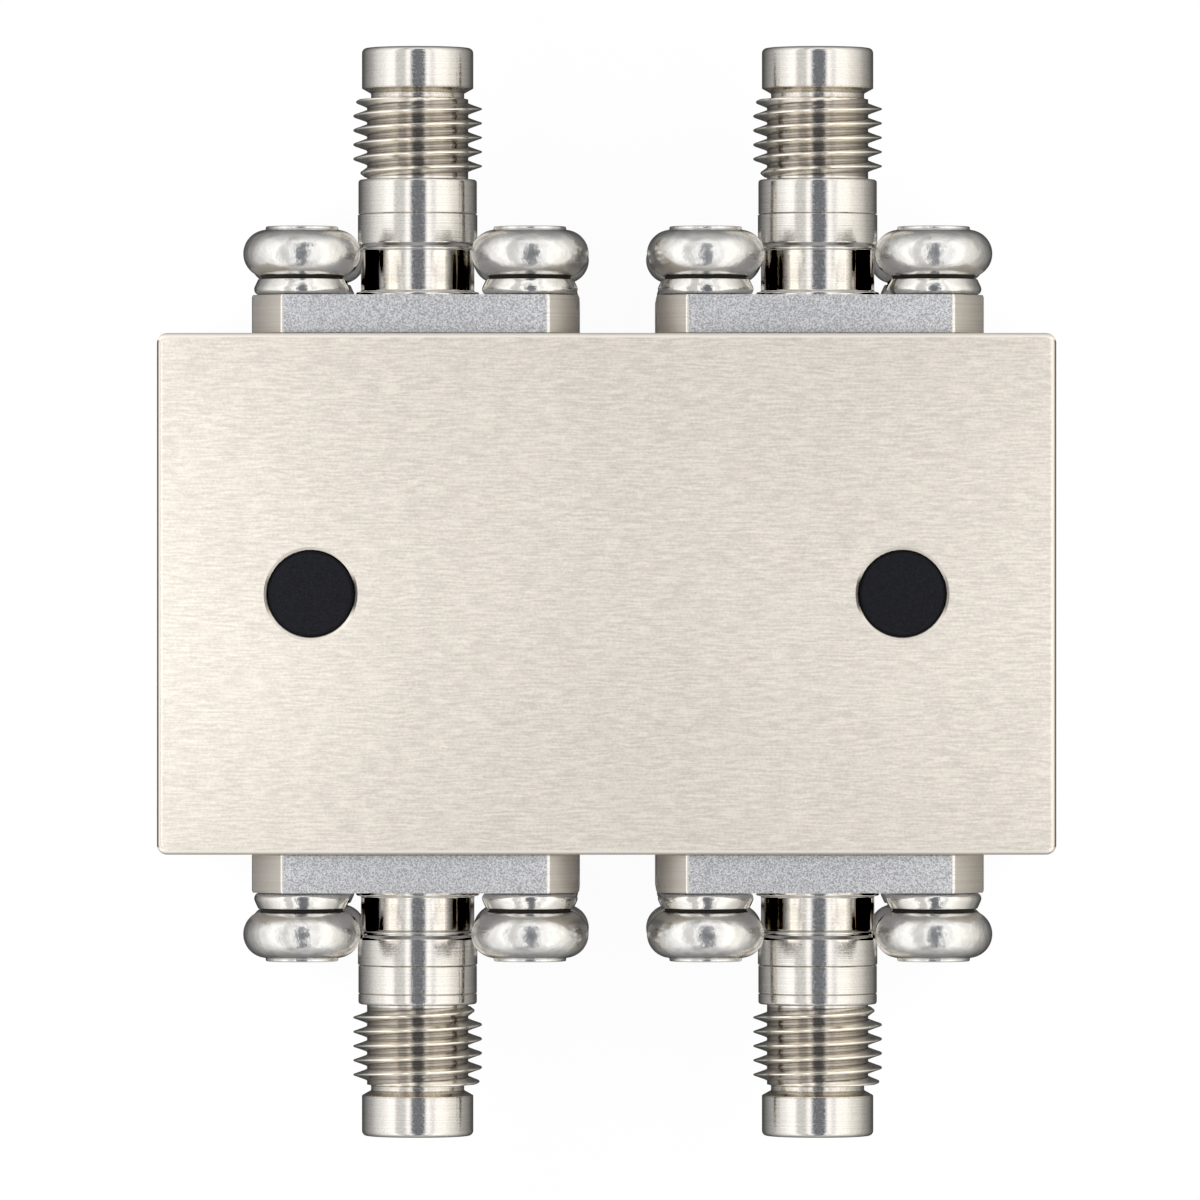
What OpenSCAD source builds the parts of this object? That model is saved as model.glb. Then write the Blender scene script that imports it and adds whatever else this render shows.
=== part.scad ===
// Four-port quadrature hybrid coupler: a milled metal block that holds a pair of coupled
// strips, with a coaxial connector and its square flange at each of the four ports.
// The block lies on its back: X runs across the pair of connectors on one end, Y runs from
// the lower end to the upper one, and Z from the back face (z = 0) to the front face.

/* [Block] */
// Width of the block, across a pair of connectors
body_w = 43.8; // [43:0.1:60]
// Length of the block, from the lower flanges to the upper ones
body_l = 25.4; // [25:0.1:40]
// Radius of the block's four upright edges
body_corner_r = 0.5; // [0.45:0.05:1.5]
// Radius of the round along the edges of the front and back faces
body_edge_r = 0.3; // [0.1:0.05:0.4]

/* [Ports] */
// Distance between the two connector axes of one end
port_spacing = 19.75; // [18.5:0.05:20.2]
// How far the middle of the connectors lies to the right of the block's middle
port_shift = 0.55; // [0:0.05:0.7]
// Width of the square flange
flange_w = 16; // [15.5:0.1:18]
// Metal left between a flange and the front face, and between it and the back
flange_margin = 0.75; // [0.5:0.05:2]
// Thickness of the flange
flange_t = 1.9; // [1.6:0.05:2.6]
// Leg of the chamfer on each flange corner
flange_chamfer = 1.5; // [1:0.1:1.6]
// Distance from the flange's sides to the axes of its screws
screw_edge = 2.425; // [2.4:0.025:2.6]

/* [Barrel] */
// Diameter of the plain barrel next to the flange
barrel_base_d = 5.6; // [5.2:0.05:5.8]
// Diameter of the ring in the middle of the barrel
barrel_ring_d = 5.9; // [5.8:0.05:6.2]
// Diameter of the shoulder under the thread
barrel_shoulder_d = 5.85; // [5.8:0.05:6.2]
// Height of the upper connectors' plain barrel above the flange
upper_base_h = 2.42; // [2:0.05:2.6]
// Height of the lower connectors' plain barrel above the flange
lower_base_h = 2.05; // [2:0.05:2.6]
// Width of the groove between the plain barrel and the ring
base_groove_w = 0.2; // [0.1:0.05:0.3]
// Height of the upper connectors' ring top above the flange
upper_ring_h = 4.1; // [3.6:0.05:4.3]
// Height of the lower connectors' ring top above the flange
lower_ring_h = 3.7; // [3.6:0.05:4.3]
// Width and depth of the fine groove above the ring
fine_groove = 0.06; // [0.04:0.01:0.1]
// Height of the upper connectors' shoulder above the flange, where the thread begins
upper_shoulder_h = 5.85; // [5.4:0.05:6]
// Height of the lower connectors' shoulder above the flange, where the thread begins
lower_shoulder_h = 5.65; // [5.4:0.05:6]
// Outer diameter of the coupling thread
thread_d = 6.35; // [6.2:0.05:6.5]
// Diameter at the bottom of the thread, and of the relief between it and the shoulder
thread_root_d = 5; // [4.8:0.05:5.2]
// Width of that relief
thread_relief_w = 0.2; // [0.1:0.05:0.3]
// Length of the coupling thread, with its relief
thread_l = 3.95; // [3.5:0.05:4.5]
// Diameter of the neck between the thread and the front collar
neck_d = 4.6; // [4.4:0.05:4.8]
// Length of the straight neck
neck_l = 0.3; // [0.2:0.05:0.5]
// Diameter of the front collar
collar_d = 5.5; // [5.4:0.05:5.7]
// Length of the front collar, with the cone under it
collar_l = 2.25; // [2.2:0.05:2.6]
// Height of the cone under the front collar
collar_cone = 0.25; // [0.2:0.05:0.5]
// Radius of the round on the collar's front edge
collar_edge_r = 0.25; // [0.05:0.05:0.25]

/* [Coaxial line] */
// Diameter of the socket in the front collar
socket_d = 4.65; // [4.6:0.01:4.8]
// Depth of the socket
socket_depth = 1.9; // [1.8:0.01:2]
// Diameter of the air-filled line behind the socket
air_line_d = 2.92; // [2.8:0.02:3.2]
// Diameter of the filled line, through the flange and the block's wall
filled_line_d = 4.1; // [3.6:0.05:4.2]
// Depth of the filled line inside the shell, from the back of the flange
shell_bore_depth = 6; // [5:0.1:8]
// Length of the bead that holds the centre contact
bead_l = 2.5; // [1.5:0.1:3]
// Diameter of the centre contact
contact_d = 1.27; // [1.2:0.01:1.4]
// Diameter of the contact's neck inside the bead
contact_neck_d = 1; // [0.9:0.05:1.05]
// Diameter of the bore in the contact's open end
contact_bore_d = 0.94; // [0.9:0.01:0.96]
// Depth of the bore in the contact's open end
contact_bore_depth = 2.6; // [2.2:0.1:3]
// Width of the slots between the contact's four spring fingers
contact_slot_w = 0.15; // [0.1:0.01:0.2]
// Length of those slots
contact_slot_l = 2; // [1.5:0.1:2.2]
// How far the contact's tip lies behind the socket's floor
contact_setback = 0.02; // [0:0.01:0.1]
// Length of the contact's flattened tail, which lies on its strip
tail_l = 1.2; // [0.8:0.1:1.5]

/* [Coupled strips] */
// Room between the strips' legs and the ends of the pocket
pocket_end_room = 0.725; // [0.5:0.025:0.8]
// Length of the pocket that holds the strips
pocket_l = 10; // [9.6:0.1:10.2]
// Radius of the pocket's corners
pocket_corner_r = 1; // [0.8:0.1:1.2]
// Thickness of the sheet between the two strips
core_t = 0.3; // [0.2:0.05:0.4]
// Thickness of each copper strip
strip_t = 0.1; // [0.05:0.01:0.12]
// Width of each copper strip
strip_w = 1.2; // [1:0.05:1.4]
// Sideways distance between the two strips where they run over each other
strip_offset = 0.5; // [0:0.05:1]
// Thickness of the filling sheet in front of the strips and of the one behind them
filler_t = 1.9; // [1.6:0.05:2.2]

/* [Rear cover] */
// Width of the cover plate's seat beyond each end of the pocket
cover_end_lip = 0.8; // [0.6:0.05:0.9]
// Width of the cover plate's seat beyond each long side of the pocket
cover_side_lip = 3.2; // [3.1:0.05:3.3]
// Thickness of the cover plate
cover_t = 1.6; // [1.4:0.05:1.6]
// Radius of the cover plate's corners
cover_corner_r = 1.5; // [1:0.1:1.6]
// Number of cover screws along each long side
cover_screws_per_side = 4; // [3:1:5]
// Distance from the cover's ends to the axes of its end screws
cover_screw_end = 1.8; // [1.75:0.05:3]
// Distance from the cover's long sides to the axes of its screws
cover_screw_side = 1.7; // [1.6:0.05:1.8]
// Thread diameter of the cover screws
cover_screw_d = 1.6; // [1.4:0.1:1.6]
// Head diameter of the cover screws
cover_head_d = 2.9; // [2.8:0.05:3]
// Length of the cover screws
cover_screw_l = 4.5; // [3.5:0.1:4.8]

/* [Flange screws] */
// Thread diameter of the flange screws
screw_d = 3; // [2.5:0.1:3]
// Length of the flange screws under the head
screw_l = 6; // [5:0.5:6]
// Diameter of the bulging screw head
head_d = 5.75; // [5.4:0.05:5.8]
// Height of the bulging part of the head
head_bulge_h = 2.25; // [2:0.05:2.5]
// Diameter of the head's flat bearing face
head_seat_d = 3.5; // [3.3:0.05:4.2]
// Height of the head's top rim above its bearing face
head_h = 2.57; // [2.4:0.01:2.8]
// Outer diameter of the top rim
head_rim_d = 3.55; // [3.4:0.05:3.7]
// Wall of the top rim
head_rim_wall = 0.16; // [0.1:0.02:0.2]
// Depth of the dish inside the rim
head_dish = 0.35; // [0.25:0.05:0.5]
// Distance across the points of the six-lobed socket
socket_key_d = 2.3; // [2:0.05:2.5]
// Depth of the six-lobed socket below the dish
socket_key_depth = 1.1; // [0.8:0.05:1.3]
// Outer diameter of the spring washer
washer_d = 4.55; // [4.4:0.05:5]
// Thickness of the spring washer
washer_t = 0.8; // [0.6:0.05:0.9]
// Angle of the spring washer's open gap
washer_gap = 9; // [5:1:15]

/* [Mounting holes and plugs] */
// Distance from the block's sides to the axes of the mounting holes
mount_edge = 7.5; // [5:0.05:7.7]
// Diameter of the mounting holes
mount_hole_d = 2.5; // [2:0.1:2.5]
// Diameter of the black plugs in the front face
plug_d = 4.2; // [3.6:0.05:4.4]
// Thickness of the plug's head
plug_t = 2; // [1.5:0.1:2.5]
// How far the plug's face lies below the front face
plug_setback = 0.1; // [0.05:0.05:0.3]
// Leg of the chamfer round the plug's recess
recess_chamfer = 0.14; // [0.1:0.02:0.3]
// Diameter of the plug's stem
plug_stem_d = 2.9; // [2.7:0.1:3.2]
// Length of the plug's stem
plug_stem_l = 3; // [2:0.5:5]

/* [Clearances] */
// Play round the beads, sleeves and contacts, on the radius
line_play = 0.02; // [0.01:0.01:0.04]
// Play round the cover, the sheets and the plugs, on each side
sheet_play = 0.05; // [0.02:0.01:0.08]
// Play round the flange screws and the cover screws, on the radius
screw_play = 0.05; // [0.03:0.01:0.1]
// Room left past the end of each screw in its hole
hole_runout = 0.45; // [0.2:0.05:0.5]

/* [Hidden] */
$fn = 96;
// Overlap of a cutting tool past the face that it opens
past = 0.5;

UPPER = 1;
LOWER = -1;
LEFT = -1;
RIGHT = 1;
FRONT = 1;
REAR = -1;
// Each port: name, end of the block, side of the block, and the strip that it joins
PORTS = [
    ["upper_left", UPPER, LEFT, FRONT],
    ["upper_right", UPPER, RIGHT, REAR],
    ["lower_left", LOWER, LEFT, REAR],
    ["lower_right", LOWER, RIGHT, FRONT],
];
PORT_PIECES = ["shell", "contact", "bead", "sleeve", "screws", "washers"];

body_t = flange_w + 2 * flange_margin;
screw_spacing = flange_w - 2 * screw_edge;
port_z = body_t / 2;
stack_half = core_t / 2 + strip_t;
pocket_roof_z = port_z + stack_half + filler_t;
pedestal_z = port_z - stack_half - filler_t;
pocket_w = port_spacing + strip_w + 2 * pocket_end_room;
cover_w = pocket_w + 2 * cover_end_lip;
cover_l = pocket_l + 2 * cover_side_lip;
cover_screw_run = cover_w - 2 * cover_screw_end;
cover_screw_spacing = cover_l - 2 * cover_screw_side;
wall_l = (body_l - pocket_l) / 2;
screw_hole_depth = screw_l - flange_t - washer_t + hole_runout;
cover_hole_z = cover_screw_l + hole_runout;
cover_cone_h = (cover_head_d - cover_screw_d) / 2;
mount_spacing = body_w - 2 * mount_edge;
recess_d = plug_d + 2 * sheet_play;
stem_bore_d = plug_stem_d + 2 * sheet_play;
recess_z = body_t - plug_setback - plug_t;
stem_z = recess_z - plug_stem_l;

// Shape of a six-lobed key, as shares of the distance across its points
key_core = 0.84;
key_lobe_r = 0.12;
key_notch_r = 0.14;
key_notch_place = 0.48;
// Size of the cover screws' key, as a share of their thread diameter
cover_key = 0.85;

// Angles by which the tightened screws and washers ended up turned, port by port
SCREW_TURN = 31;
SIDE_TURN = 13;
END_TURN = 5;

// Heights of a barrel's tip and of its socket's floor, above the flange's outer face
function tip_h(shoulder_h) = shoulder_h + thread_l + neck_l + collar_l;
function socket_floor_h(shoulder_h) = tip_h(shoulder_h) - socket_depth;

function port_x(side) = port_shift + side * port_spacing / 2;

// Puts its children on a port: their z = 0 is the block's end face, +Z points outwards
module at_port(end, side) {
    translate([port_x(side), end * body_l / 2, port_z])
        rotate([-90 * end, 0, 0])
            children();
}

// Puts its children on each screw place of a flange, turned a little further each time
module at_flange_screws(turn = 0) {
    for (i = [0 : 3])
        rotate(45 + 90 * i)
            translate([screw_spacing / sqrt(2), 0, 0])
                rotate(turn * (i + 1))
                    children();
}

module at_cover_screws() {
    step = cover_screw_run / (cover_screws_per_side - 1);
    for (row = [-1, 1], i = [0 : cover_screws_per_side - 1])
        translate([port_shift - cover_screw_run / 2 + i * step, row * cover_screw_spacing / 2, 0])
            children();
}

// Outline of a plate with round corners
module round_outline(w, l, r) {
    square([w - 2 * r, l], center = true);
    square([w, l - 2 * r], center = true);
    for (x = [-1, 1], y = [-1, 1])
        translate([x * (w / 2 - r), y * (l / 2 - r)])
            circle(r);
}

// A plate in the middle of the ports, with its sides moved out by grow
module port_plate(w, l, r, z, t, grow = 0) {
    translate([port_shift, 0, z])
        linear_extrude(t)
            round_outline(w + 2 * grow, l + 2 * grow, r + grow);
}

// Half outline of an upright corner of the block, with its ends rounded
module corner_half_outline() {
    flat_r = body_corner_r - body_edge_r;
    square([flat_r, body_t]);
    translate([0, body_edge_r])
        square([body_corner_r, body_t - 2 * body_edge_r]);
    for (y = [body_edge_r, body_t - body_edge_r])
        translate([flat_r, y])
            circle(body_edge_r);
}

// The block before it is machined: round upright edges and softly broken face edges
module block() {
    straight_w = body_w - 2 * body_corner_r;
    straight_l = body_l - 2 * body_corner_r;
    translate([0, 0, body_t / 2]) {
        rotate([90, 0, 90])
            linear_extrude(straight_w, center = true)
                round_outline(body_l, body_t, body_edge_r);
        rotate([90, 0, 0])
            linear_extrude(straight_l, center = true)
                round_outline(body_w, body_t, body_edge_r);
    }
    for (x = [-1, 1], y = [-1, 1])
        translate([x * straight_w / 2, y * straight_l / 2, 0])
            rotate_extrude()
                corner_half_outline();
}

// A mounting hole from the back, which meets the stepped recess of its plug
module mounting_hole() {
    r = recess_d / 2;
    translate([0, 0, -past])
        cylinder(d = mount_hole_d, h = stem_z + 2 * past);
    translate([0, 0, stem_z])
        cylinder(d = stem_bore_d, h = plug_stem_l + past);
    translate([0, 0, recess_z])
        cylinder(r = r, h = body_t - recess_z + past);
    translate([0, 0, body_t - recess_chamfer])
        cylinder(r1 = r, r2 = r + recess_chamfer + past, h = recess_chamfer + past);
}

module housing() {
    color([0.9, 0.87, 0.82])
        difference() {
            block();
            port_plate(pocket_w, pocket_l, pocket_corner_r, 0, pocket_roof_z);
            port_plate(cover_w, cover_l, cover_corner_r, -past, cover_t + past);
            at_cover_screws()
                cylinder(d = cover_screw_d, h = cover_hole_z);
            for (side = [LEFT, RIGHT])
                translate([side * mount_spacing / 2, 0, 0])
                    mounting_hole();
            for (port = PORTS)
                at_port(port[1], port[2]) {
                    translate([0, 0, -wall_l - past])
                        cylinder(d = filled_line_d, h = wall_l + 2 * past);
                    at_flange_screws()
                        translate([0, 0, -screw_hole_depth])
                            cylinder(d = screw_d, h = screw_hole_depth + past);
                }
        }
}

module rear_cover() {
    color([0.88, 0.85, 0.8])
        difference() {
            union() {
                port_plate(cover_w, cover_l, cover_corner_r, 0, cover_t, -sheet_play);
                port_plate(pocket_w, pocket_l, pocket_corner_r, 0, pedestal_z, -sheet_play);
            }
            at_cover_screws() {
                translate([0, 0, -past])
                    cylinder(d = cover_screw_d + 2 * screw_play, h = cover_t + 2 * past);
                cover_screw_cone(line_play);
            }
        }
}

// The cone under a countersunk head, with its sides moved out by grow
module cover_screw_cone(grow = 0) {
    top_r = cover_head_d / 2 + grow;
    cylinder(r1 = top_r, r2 = top_r - cover_cone_h, h = cover_cone_h);
}

module cover_screws() {
    color([0.75, 0.74, 0.72])
        at_cover_screws()
            difference() {
                union() {
                    cover_screw_cone();
                    cylinder(d = cover_screw_d - 2 * line_play, h = cover_screw_l);
                }
                translate([0, 0, -past])
                    linear_extrude(past + cover_cone_h)
                        six_lobes(cover_screw_d * cover_key);
            }
}

// Outline of a six-lobed key with the given distance across its points
module six_lobes(d) {
    lobe_r = d * key_lobe_r;
    difference() {
        union() {
            circle(d = d * key_core);
            for (i = [0 : 5])
                rotate(60 * i)
                    translate([d / 2 - lobe_r, 0])
                        circle(lobe_r);
        }
        for (i = [0 : 5])
            rotate(60 * i + 30)
                translate([d * key_notch_place, 0])
                    circle(d * key_notch_r);
    }
}

// A plug fills its recess, and its stem closes the front end of the mounting hole
module plug(side) {
    r = plug_d / 2;
    top_z = body_t - plug_setback;
    edge = recess_chamfer;
    translate([side * mount_spacing / 2, 0, 0])
        rotate_extrude()
            polygon([
                [0, stem_z],
                [plug_stem_d / 2, stem_z],
                [plug_stem_d / 2, recess_z],
                [r, recess_z],
                [r, top_z - edge],
                [r - edge, top_z],
                [0, top_z],
            ]);
}

module left_plug() {
    color([0.14, 0.14, 0.16])
        plug(LEFT);
}

module right_plug() {
    color([0.14, 0.14, 0.16])
        plug(RIGHT);
}

// Outline of a strip: it enters on the left at one end of the pocket, crosses the middle and
// leaves on the right at the other end
module strip_outline(end) {
    reach = pocket_l / 2 - sheet_play;
    mid_y = end * strip_offset / 2;
    translate([port_shift, mid_y])
        square([port_spacing, strip_w], center = true);
    for (side = [LEFT, RIGHT]) {
        leg_end_y = -side * end * reach;
        leg_l = abs(leg_end_y - mid_y);
        translate([port_x(side), (leg_end_y + mid_y) / 2])
            square([strip_w, leg_l], center = true);
        translate([port_x(side), mid_y])
            circle(d = strip_w);
    }
}

module front_strip() {
    color([0.85, 0.55, 0.3])
        translate([0, 0, port_z + core_t / 2])
            linear_extrude(strip_t)
                strip_outline(UPPER);
}

module rear_strip() {
    color([0.85, 0.55, 0.3])
        translate([0, 0, port_z - core_t / 2 - strip_t])
            linear_extrude(strip_t)
                strip_outline(LOWER);
}

// Room for the tails of the contacts that lie on the strip of the given face
module tail_notches(face, z) {
    notch_w = contact_d + 4 * sheet_play;
    notch_l = tail_l + 2 * sheet_play;
    for (port = PORTS)
        if (port[3] == face)
            translate([port_x(port[2]), port[1] * (pocket_l / 2 - notch_l / 2), z])
                cube([notch_w, notch_l, 2 * contact_d], center = true);
}

module filler_sheet(face, z) {
    color([0.93, 0.93, 0.9])
        difference() {
            port_plate(pocket_w, pocket_l, pocket_corner_r, z, filler_t, -sheet_play);
            tail_notches(face, port_z);
        }
}

module front_sheet() {
    filler_sheet(FRONT, port_z + stack_half);
}

module rear_sheet() {
    filler_sheet(REAR, pedestal_z);
}

module core_sheet() {
    color([0.8, 0.85, 0.75])
        port_plate(pocket_w, pocket_l, pocket_corner_r, port_z - core_t / 2, core_t, -sheet_play);
}

// Half outline of a connector's turned barrel, from its flange to its front edge
module barrel_half_outline(base_h, ring_h, shoulder_h) {
    base_r = barrel_base_d / 2;
    ring_r = barrel_ring_d / 2;
    shoulder_r = barrel_shoulder_d / 2;
    thread_r = thread_d / 2;
    root_r = thread_root_d / 2;
    collar_r = collar_d / 2;
    neck_r = neck_d / 2;
    groove_r = base_r - fine_groove;
    edge = 2 * fine_groove;
    relief_h = shoulder_h + thread_relief_w;
    thread_top_h = shoulder_h + thread_l;
    neck_top_h = thread_top_h + neck_l;
    top_h = tip_h(shoulder_h);
    polygon([
        [0, 0],
        [base_r, 0],
        [base_r, base_h],
        [groove_r, base_h],
        [groove_r, base_h + base_groove_w],
        [ring_r, base_h + base_groove_w],
        [ring_r, ring_h - fine_groove],
        [ring_r - fine_groove, ring_h],
        [shoulder_r, ring_h + fine_groove],
        [shoulder_r, shoulder_h - edge],
        [shoulder_r - edge, shoulder_h],
        [root_r, shoulder_h],
        [root_r, relief_h],
        [thread_r - edge, relief_h],
        [thread_r, relief_h + edge],
        [thread_r, thread_top_h - edge],
        [thread_r - edge, thread_top_h],
        [neck_r, thread_top_h],
        [neck_r, neck_top_h],
        [collar_r, neck_top_h + collar_cone],
        [collar_r, top_h - collar_edge_r],
        [collar_r - collar_edge_r, top_h],
        [0, top_h],
    ]);
    translate([collar_r - collar_edge_r, top_h - collar_edge_r])
        circle(collar_edge_r);
}

module flange_outline() {
    half = flange_w / 2;
    cut = half - flange_chamfer;
    polygon([
        [-cut, -half], [cut, -half], [half, -cut], [half, cut],
        [cut, half], [-cut, half], [-half, cut], [-half, -cut],
    ]);
}

// The connector's outer conductor: flange, barrel, thread and collar turned from one bar
module shell(base_h, ring_h, shoulder_h) {
    color([0.76, 0.75, 0.73])
        difference() {
            union() {
                linear_extrude(flange_t)
                    flange_outline();
                translate([0, 0, flange_t])
                    rotate_extrude()
                        barrel_half_outline(base_h, ring_h, shoulder_h);
            }
            translate([0, 0, -past])
                cylinder(d = filled_line_d, h = shell_bore_depth + past);
            cylinder(d = air_line_d, h = flange_t + tip_h(shoulder_h));
            translate([0, 0, flange_t + socket_floor_h(shoulder_h)])
                cylinder(d = socket_d, h = socket_depth + past);
            at_flange_screws()
                translate([0, 0, -past])
                    cylinder(d = screw_d + 4 * screw_play, h = flange_t + 2 * past);
        }
}

// The centre contact: tail, pin, neck inside the bead, and the bored and slotted open end
module contact(tail_side, shoulder_h) {
    tip = flange_t + socket_floor_h(shoulder_h) - contact_setback;
    cut_w = 2 * contact_d;
    cut_y = tail_side > 0 ? stack_half - cut_w : -stack_half;
    color([0.9, 0.75, 0.35])
        difference() {
            translate([0, 0, -wall_l - tail_l])
                cylinder(d = contact_d, h = tip + wall_l + tail_l);
            translate([-contact_d, cut_y, -wall_l - 2 * tail_l])
                cube([cut_w, cut_w, 2 * tail_l]);
            translate([0, 0, shell_bore_depth - bead_l])
                difference() {
                    cylinder(d = cut_w, h = bead_l);
                    cylinder(d = contact_neck_d, h = bead_l);
                }
            translate([0, 0, tip - contact_bore_depth])
                cylinder(d = contact_bore_d, h = contact_bore_depth + past);
            for (turn = [0, 90])
                rotate(turn)
                    translate([-contact_d, -contact_slot_w / 2, tip - contact_slot_l])
                        cube([2 * contact_d, contact_slot_w, contact_slot_l + past]);
        }
}

// A ring round the contact, between the heights from and to
module line_ring(from, to, hole_d) {
    translate([0, 0, from])
        difference() {
            cylinder(d = filled_line_d - 2 * line_play, h = to - from);
            translate([0, 0, -past])
                cylinder(d = hole_d + 2 * line_play, h = to - from + 2 * past);
        }
}

module bead() {
    color([0.92, 0.9, 0.84])
        line_ring(shell_bore_depth - bead_l, shell_bore_depth, contact_neck_d);
}

module sleeve() {
    color([0.97, 0.97, 0.96])
        line_ring(-wall_l, shell_bore_depth - bead_l, contact_d);
}

// Half outline of a flange screw: shank, bearing face, bulging head, rim and dish
module flange_screw_half_outline() {
    bulge_r = head_bulge_h / 2;
    bulge_x = head_d / 2 - bulge_r;
    rim_r = head_rim_d / 2;
    bulge_top = head_h - head_rim_wall;
    dish_z = head_h - head_dish;
    difference() {
        union() {
            translate([0, -screw_l])
                square([screw_d / 2 - screw_play, screw_l + bulge_r]);
            square([head_seat_d / 2, bulge_r]);
            translate([0, bulge_top - head_bulge_h])
                square([bulge_x, head_bulge_h]);
            translate([bulge_x, bulge_top - bulge_r])
                circle(bulge_r);
            square([rim_r, head_h]);
        }
        translate([0, dish_z])
            square([rim_r - head_rim_wall, head_dish + past]);
    }
}

module flange_screws(turn) {
    dish_z = head_h - head_dish;
    color([0.82, 0.8, 0.77])
        at_flange_screws(turn)
            translate([0, 0, flange_t + washer_t])
                difference() {
                    rotate_extrude()
                        flange_screw_half_outline();
                    translate([0, 0, dish_z - socket_key_depth])
                        linear_extrude(socket_key_depth + past)
                            six_lobes(socket_key_d);
                }
}

// A spring washer is a ring with broken edges and one open gap
module washers(turn) {
    outer_r = washer_d / 2;
    inner_r = screw_d / 2 + screw_play;
    edge = washer_t / 4;
    color([0.8, 0.79, 0.76])
        at_flange_screws(turn)
            translate([0, 0, flange_t])
                rotate_extrude(angle = 360 - washer_gap)
                    polygon([
                        [inner_r, 0],
                        [outer_r - edge, 0],
                        [outer_r, edge],
                        [outer_r - edge, washer_t],
                        [inner_r, washer_t],
                    ]);
}

housing();
rear_cover();
cover_screws();
left_plug();
right_plug();
front_strip();
rear_strip();
front_sheet();
core_sheet();
rear_sheet();
for (port = PORTS) {
    name = port[0];
    end = port[1];
    side = port[2];
    turn = SCREW_TURN + SIDE_TURN * side + END_TURN * end;
    base_h = end == UPPER ? upper_base_h : lower_base_h;
    ring_h = end == UPPER ? upper_ring_h : lower_ring_h;
    shoulder_h = end == UPPER ? upper_shoulder_h : lower_shoulder_h;
    at_port(end, side) shell(base_h, ring_h, shoulder_h);
    at_port(end, side) contact(-end * port[3], shoulder_h);
    at_port(end, side) bead();
    at_port(end, side) sleeve();
    at_port(end, side) flange_screws(turn);
    at_port(end, side) washers(turn);
}
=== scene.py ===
"""Finishes, fine forms, light and camera for a four-port quadrature hybrid coupler.

The packed solids are the frame: the block, its rear cover, the plugs and the inner pieces keep
their own shapes and get a finish. The connector shells, the flange screws and the spring washers
are modelled here in full, with threads, rounds and sockets, on the places that the frame gives.
Lengths are in metres and in the frame's own axes, unless a docstring says otherwise.
"""

from __future__ import annotations

import logging
import math
from dataclasses import dataclass, field
from enum import Enum, IntEnum
from typing import Any, Callable, Sequence

import bmesh
import bpy
from bmesh.types import BMEdge, BMesh, BMFace, BMVert
from bpy.types import Material, Mesh, Object
from mathutils import Matrix, Vector

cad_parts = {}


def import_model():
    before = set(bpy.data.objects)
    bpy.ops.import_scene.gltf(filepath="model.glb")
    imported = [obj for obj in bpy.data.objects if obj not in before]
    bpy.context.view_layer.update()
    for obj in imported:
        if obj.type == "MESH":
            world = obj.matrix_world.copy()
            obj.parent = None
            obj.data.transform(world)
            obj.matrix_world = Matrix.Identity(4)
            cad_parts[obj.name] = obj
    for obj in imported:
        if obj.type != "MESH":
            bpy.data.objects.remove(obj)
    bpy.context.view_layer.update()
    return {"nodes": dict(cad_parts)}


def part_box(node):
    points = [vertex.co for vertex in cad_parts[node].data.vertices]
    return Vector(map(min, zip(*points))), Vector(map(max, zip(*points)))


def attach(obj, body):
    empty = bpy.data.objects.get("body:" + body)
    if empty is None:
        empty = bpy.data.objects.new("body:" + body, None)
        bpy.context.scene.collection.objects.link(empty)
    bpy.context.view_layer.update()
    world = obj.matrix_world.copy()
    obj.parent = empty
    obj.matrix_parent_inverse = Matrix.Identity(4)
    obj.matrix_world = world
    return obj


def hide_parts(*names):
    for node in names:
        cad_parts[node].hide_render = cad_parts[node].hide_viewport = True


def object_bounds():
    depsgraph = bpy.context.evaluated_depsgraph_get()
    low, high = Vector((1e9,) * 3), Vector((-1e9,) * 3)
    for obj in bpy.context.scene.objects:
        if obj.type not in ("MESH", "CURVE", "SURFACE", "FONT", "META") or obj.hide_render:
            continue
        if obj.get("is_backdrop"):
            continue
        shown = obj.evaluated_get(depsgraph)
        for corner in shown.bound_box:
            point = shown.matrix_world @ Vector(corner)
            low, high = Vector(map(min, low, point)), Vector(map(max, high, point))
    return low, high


LOG = logging.getLogger("coupler")
MM = 0.001
ROOT = "root"
CREASE_ANGLE = math.radians(35)
SAME_PLACE = 1e-8
Colour = tuple[float, float, float]
Outline = list[tuple[float, float]]


class End(Enum):
    """The end of the block that a port is on, with its direction along Y."""

    UPPER = 1
    LOWER = -1


class Side(Enum):
    """The side of the block that a port is on, with its direction along X."""

    LEFT = -1
    RIGHT = 1


def add_object(name: str, data: bpy.types.ID) -> Object:
    """Adds an object to the scene.

    Args:
        name: The object's name.
        data: Its mesh, light or camera.

    Returns:
        The new object.
    """
    made = bpy.data.objects.new(name, data)
    bpy.context.scene.collection.objects.link(made)
    return made


# Node trees


def math_method(operation: str, swapped: bool = False) -> Callable[..., Signal]:
    """Makes one of a signal's arithmetic methods.

    Args:
        operation: The Math node's operation.
        swapped: Whether the signal is the node's second value.

    Returns:
        A method that adds the node and returns its result.
    """

    def method(signal: Signal, *other: Value) -> Signal:
        """Adds the node for a signal and, where there is one, the other value."""
        values = (*other, signal) if swapped else (signal, *other)
        return signal.graph.math(operation, *values)

    return method


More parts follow.
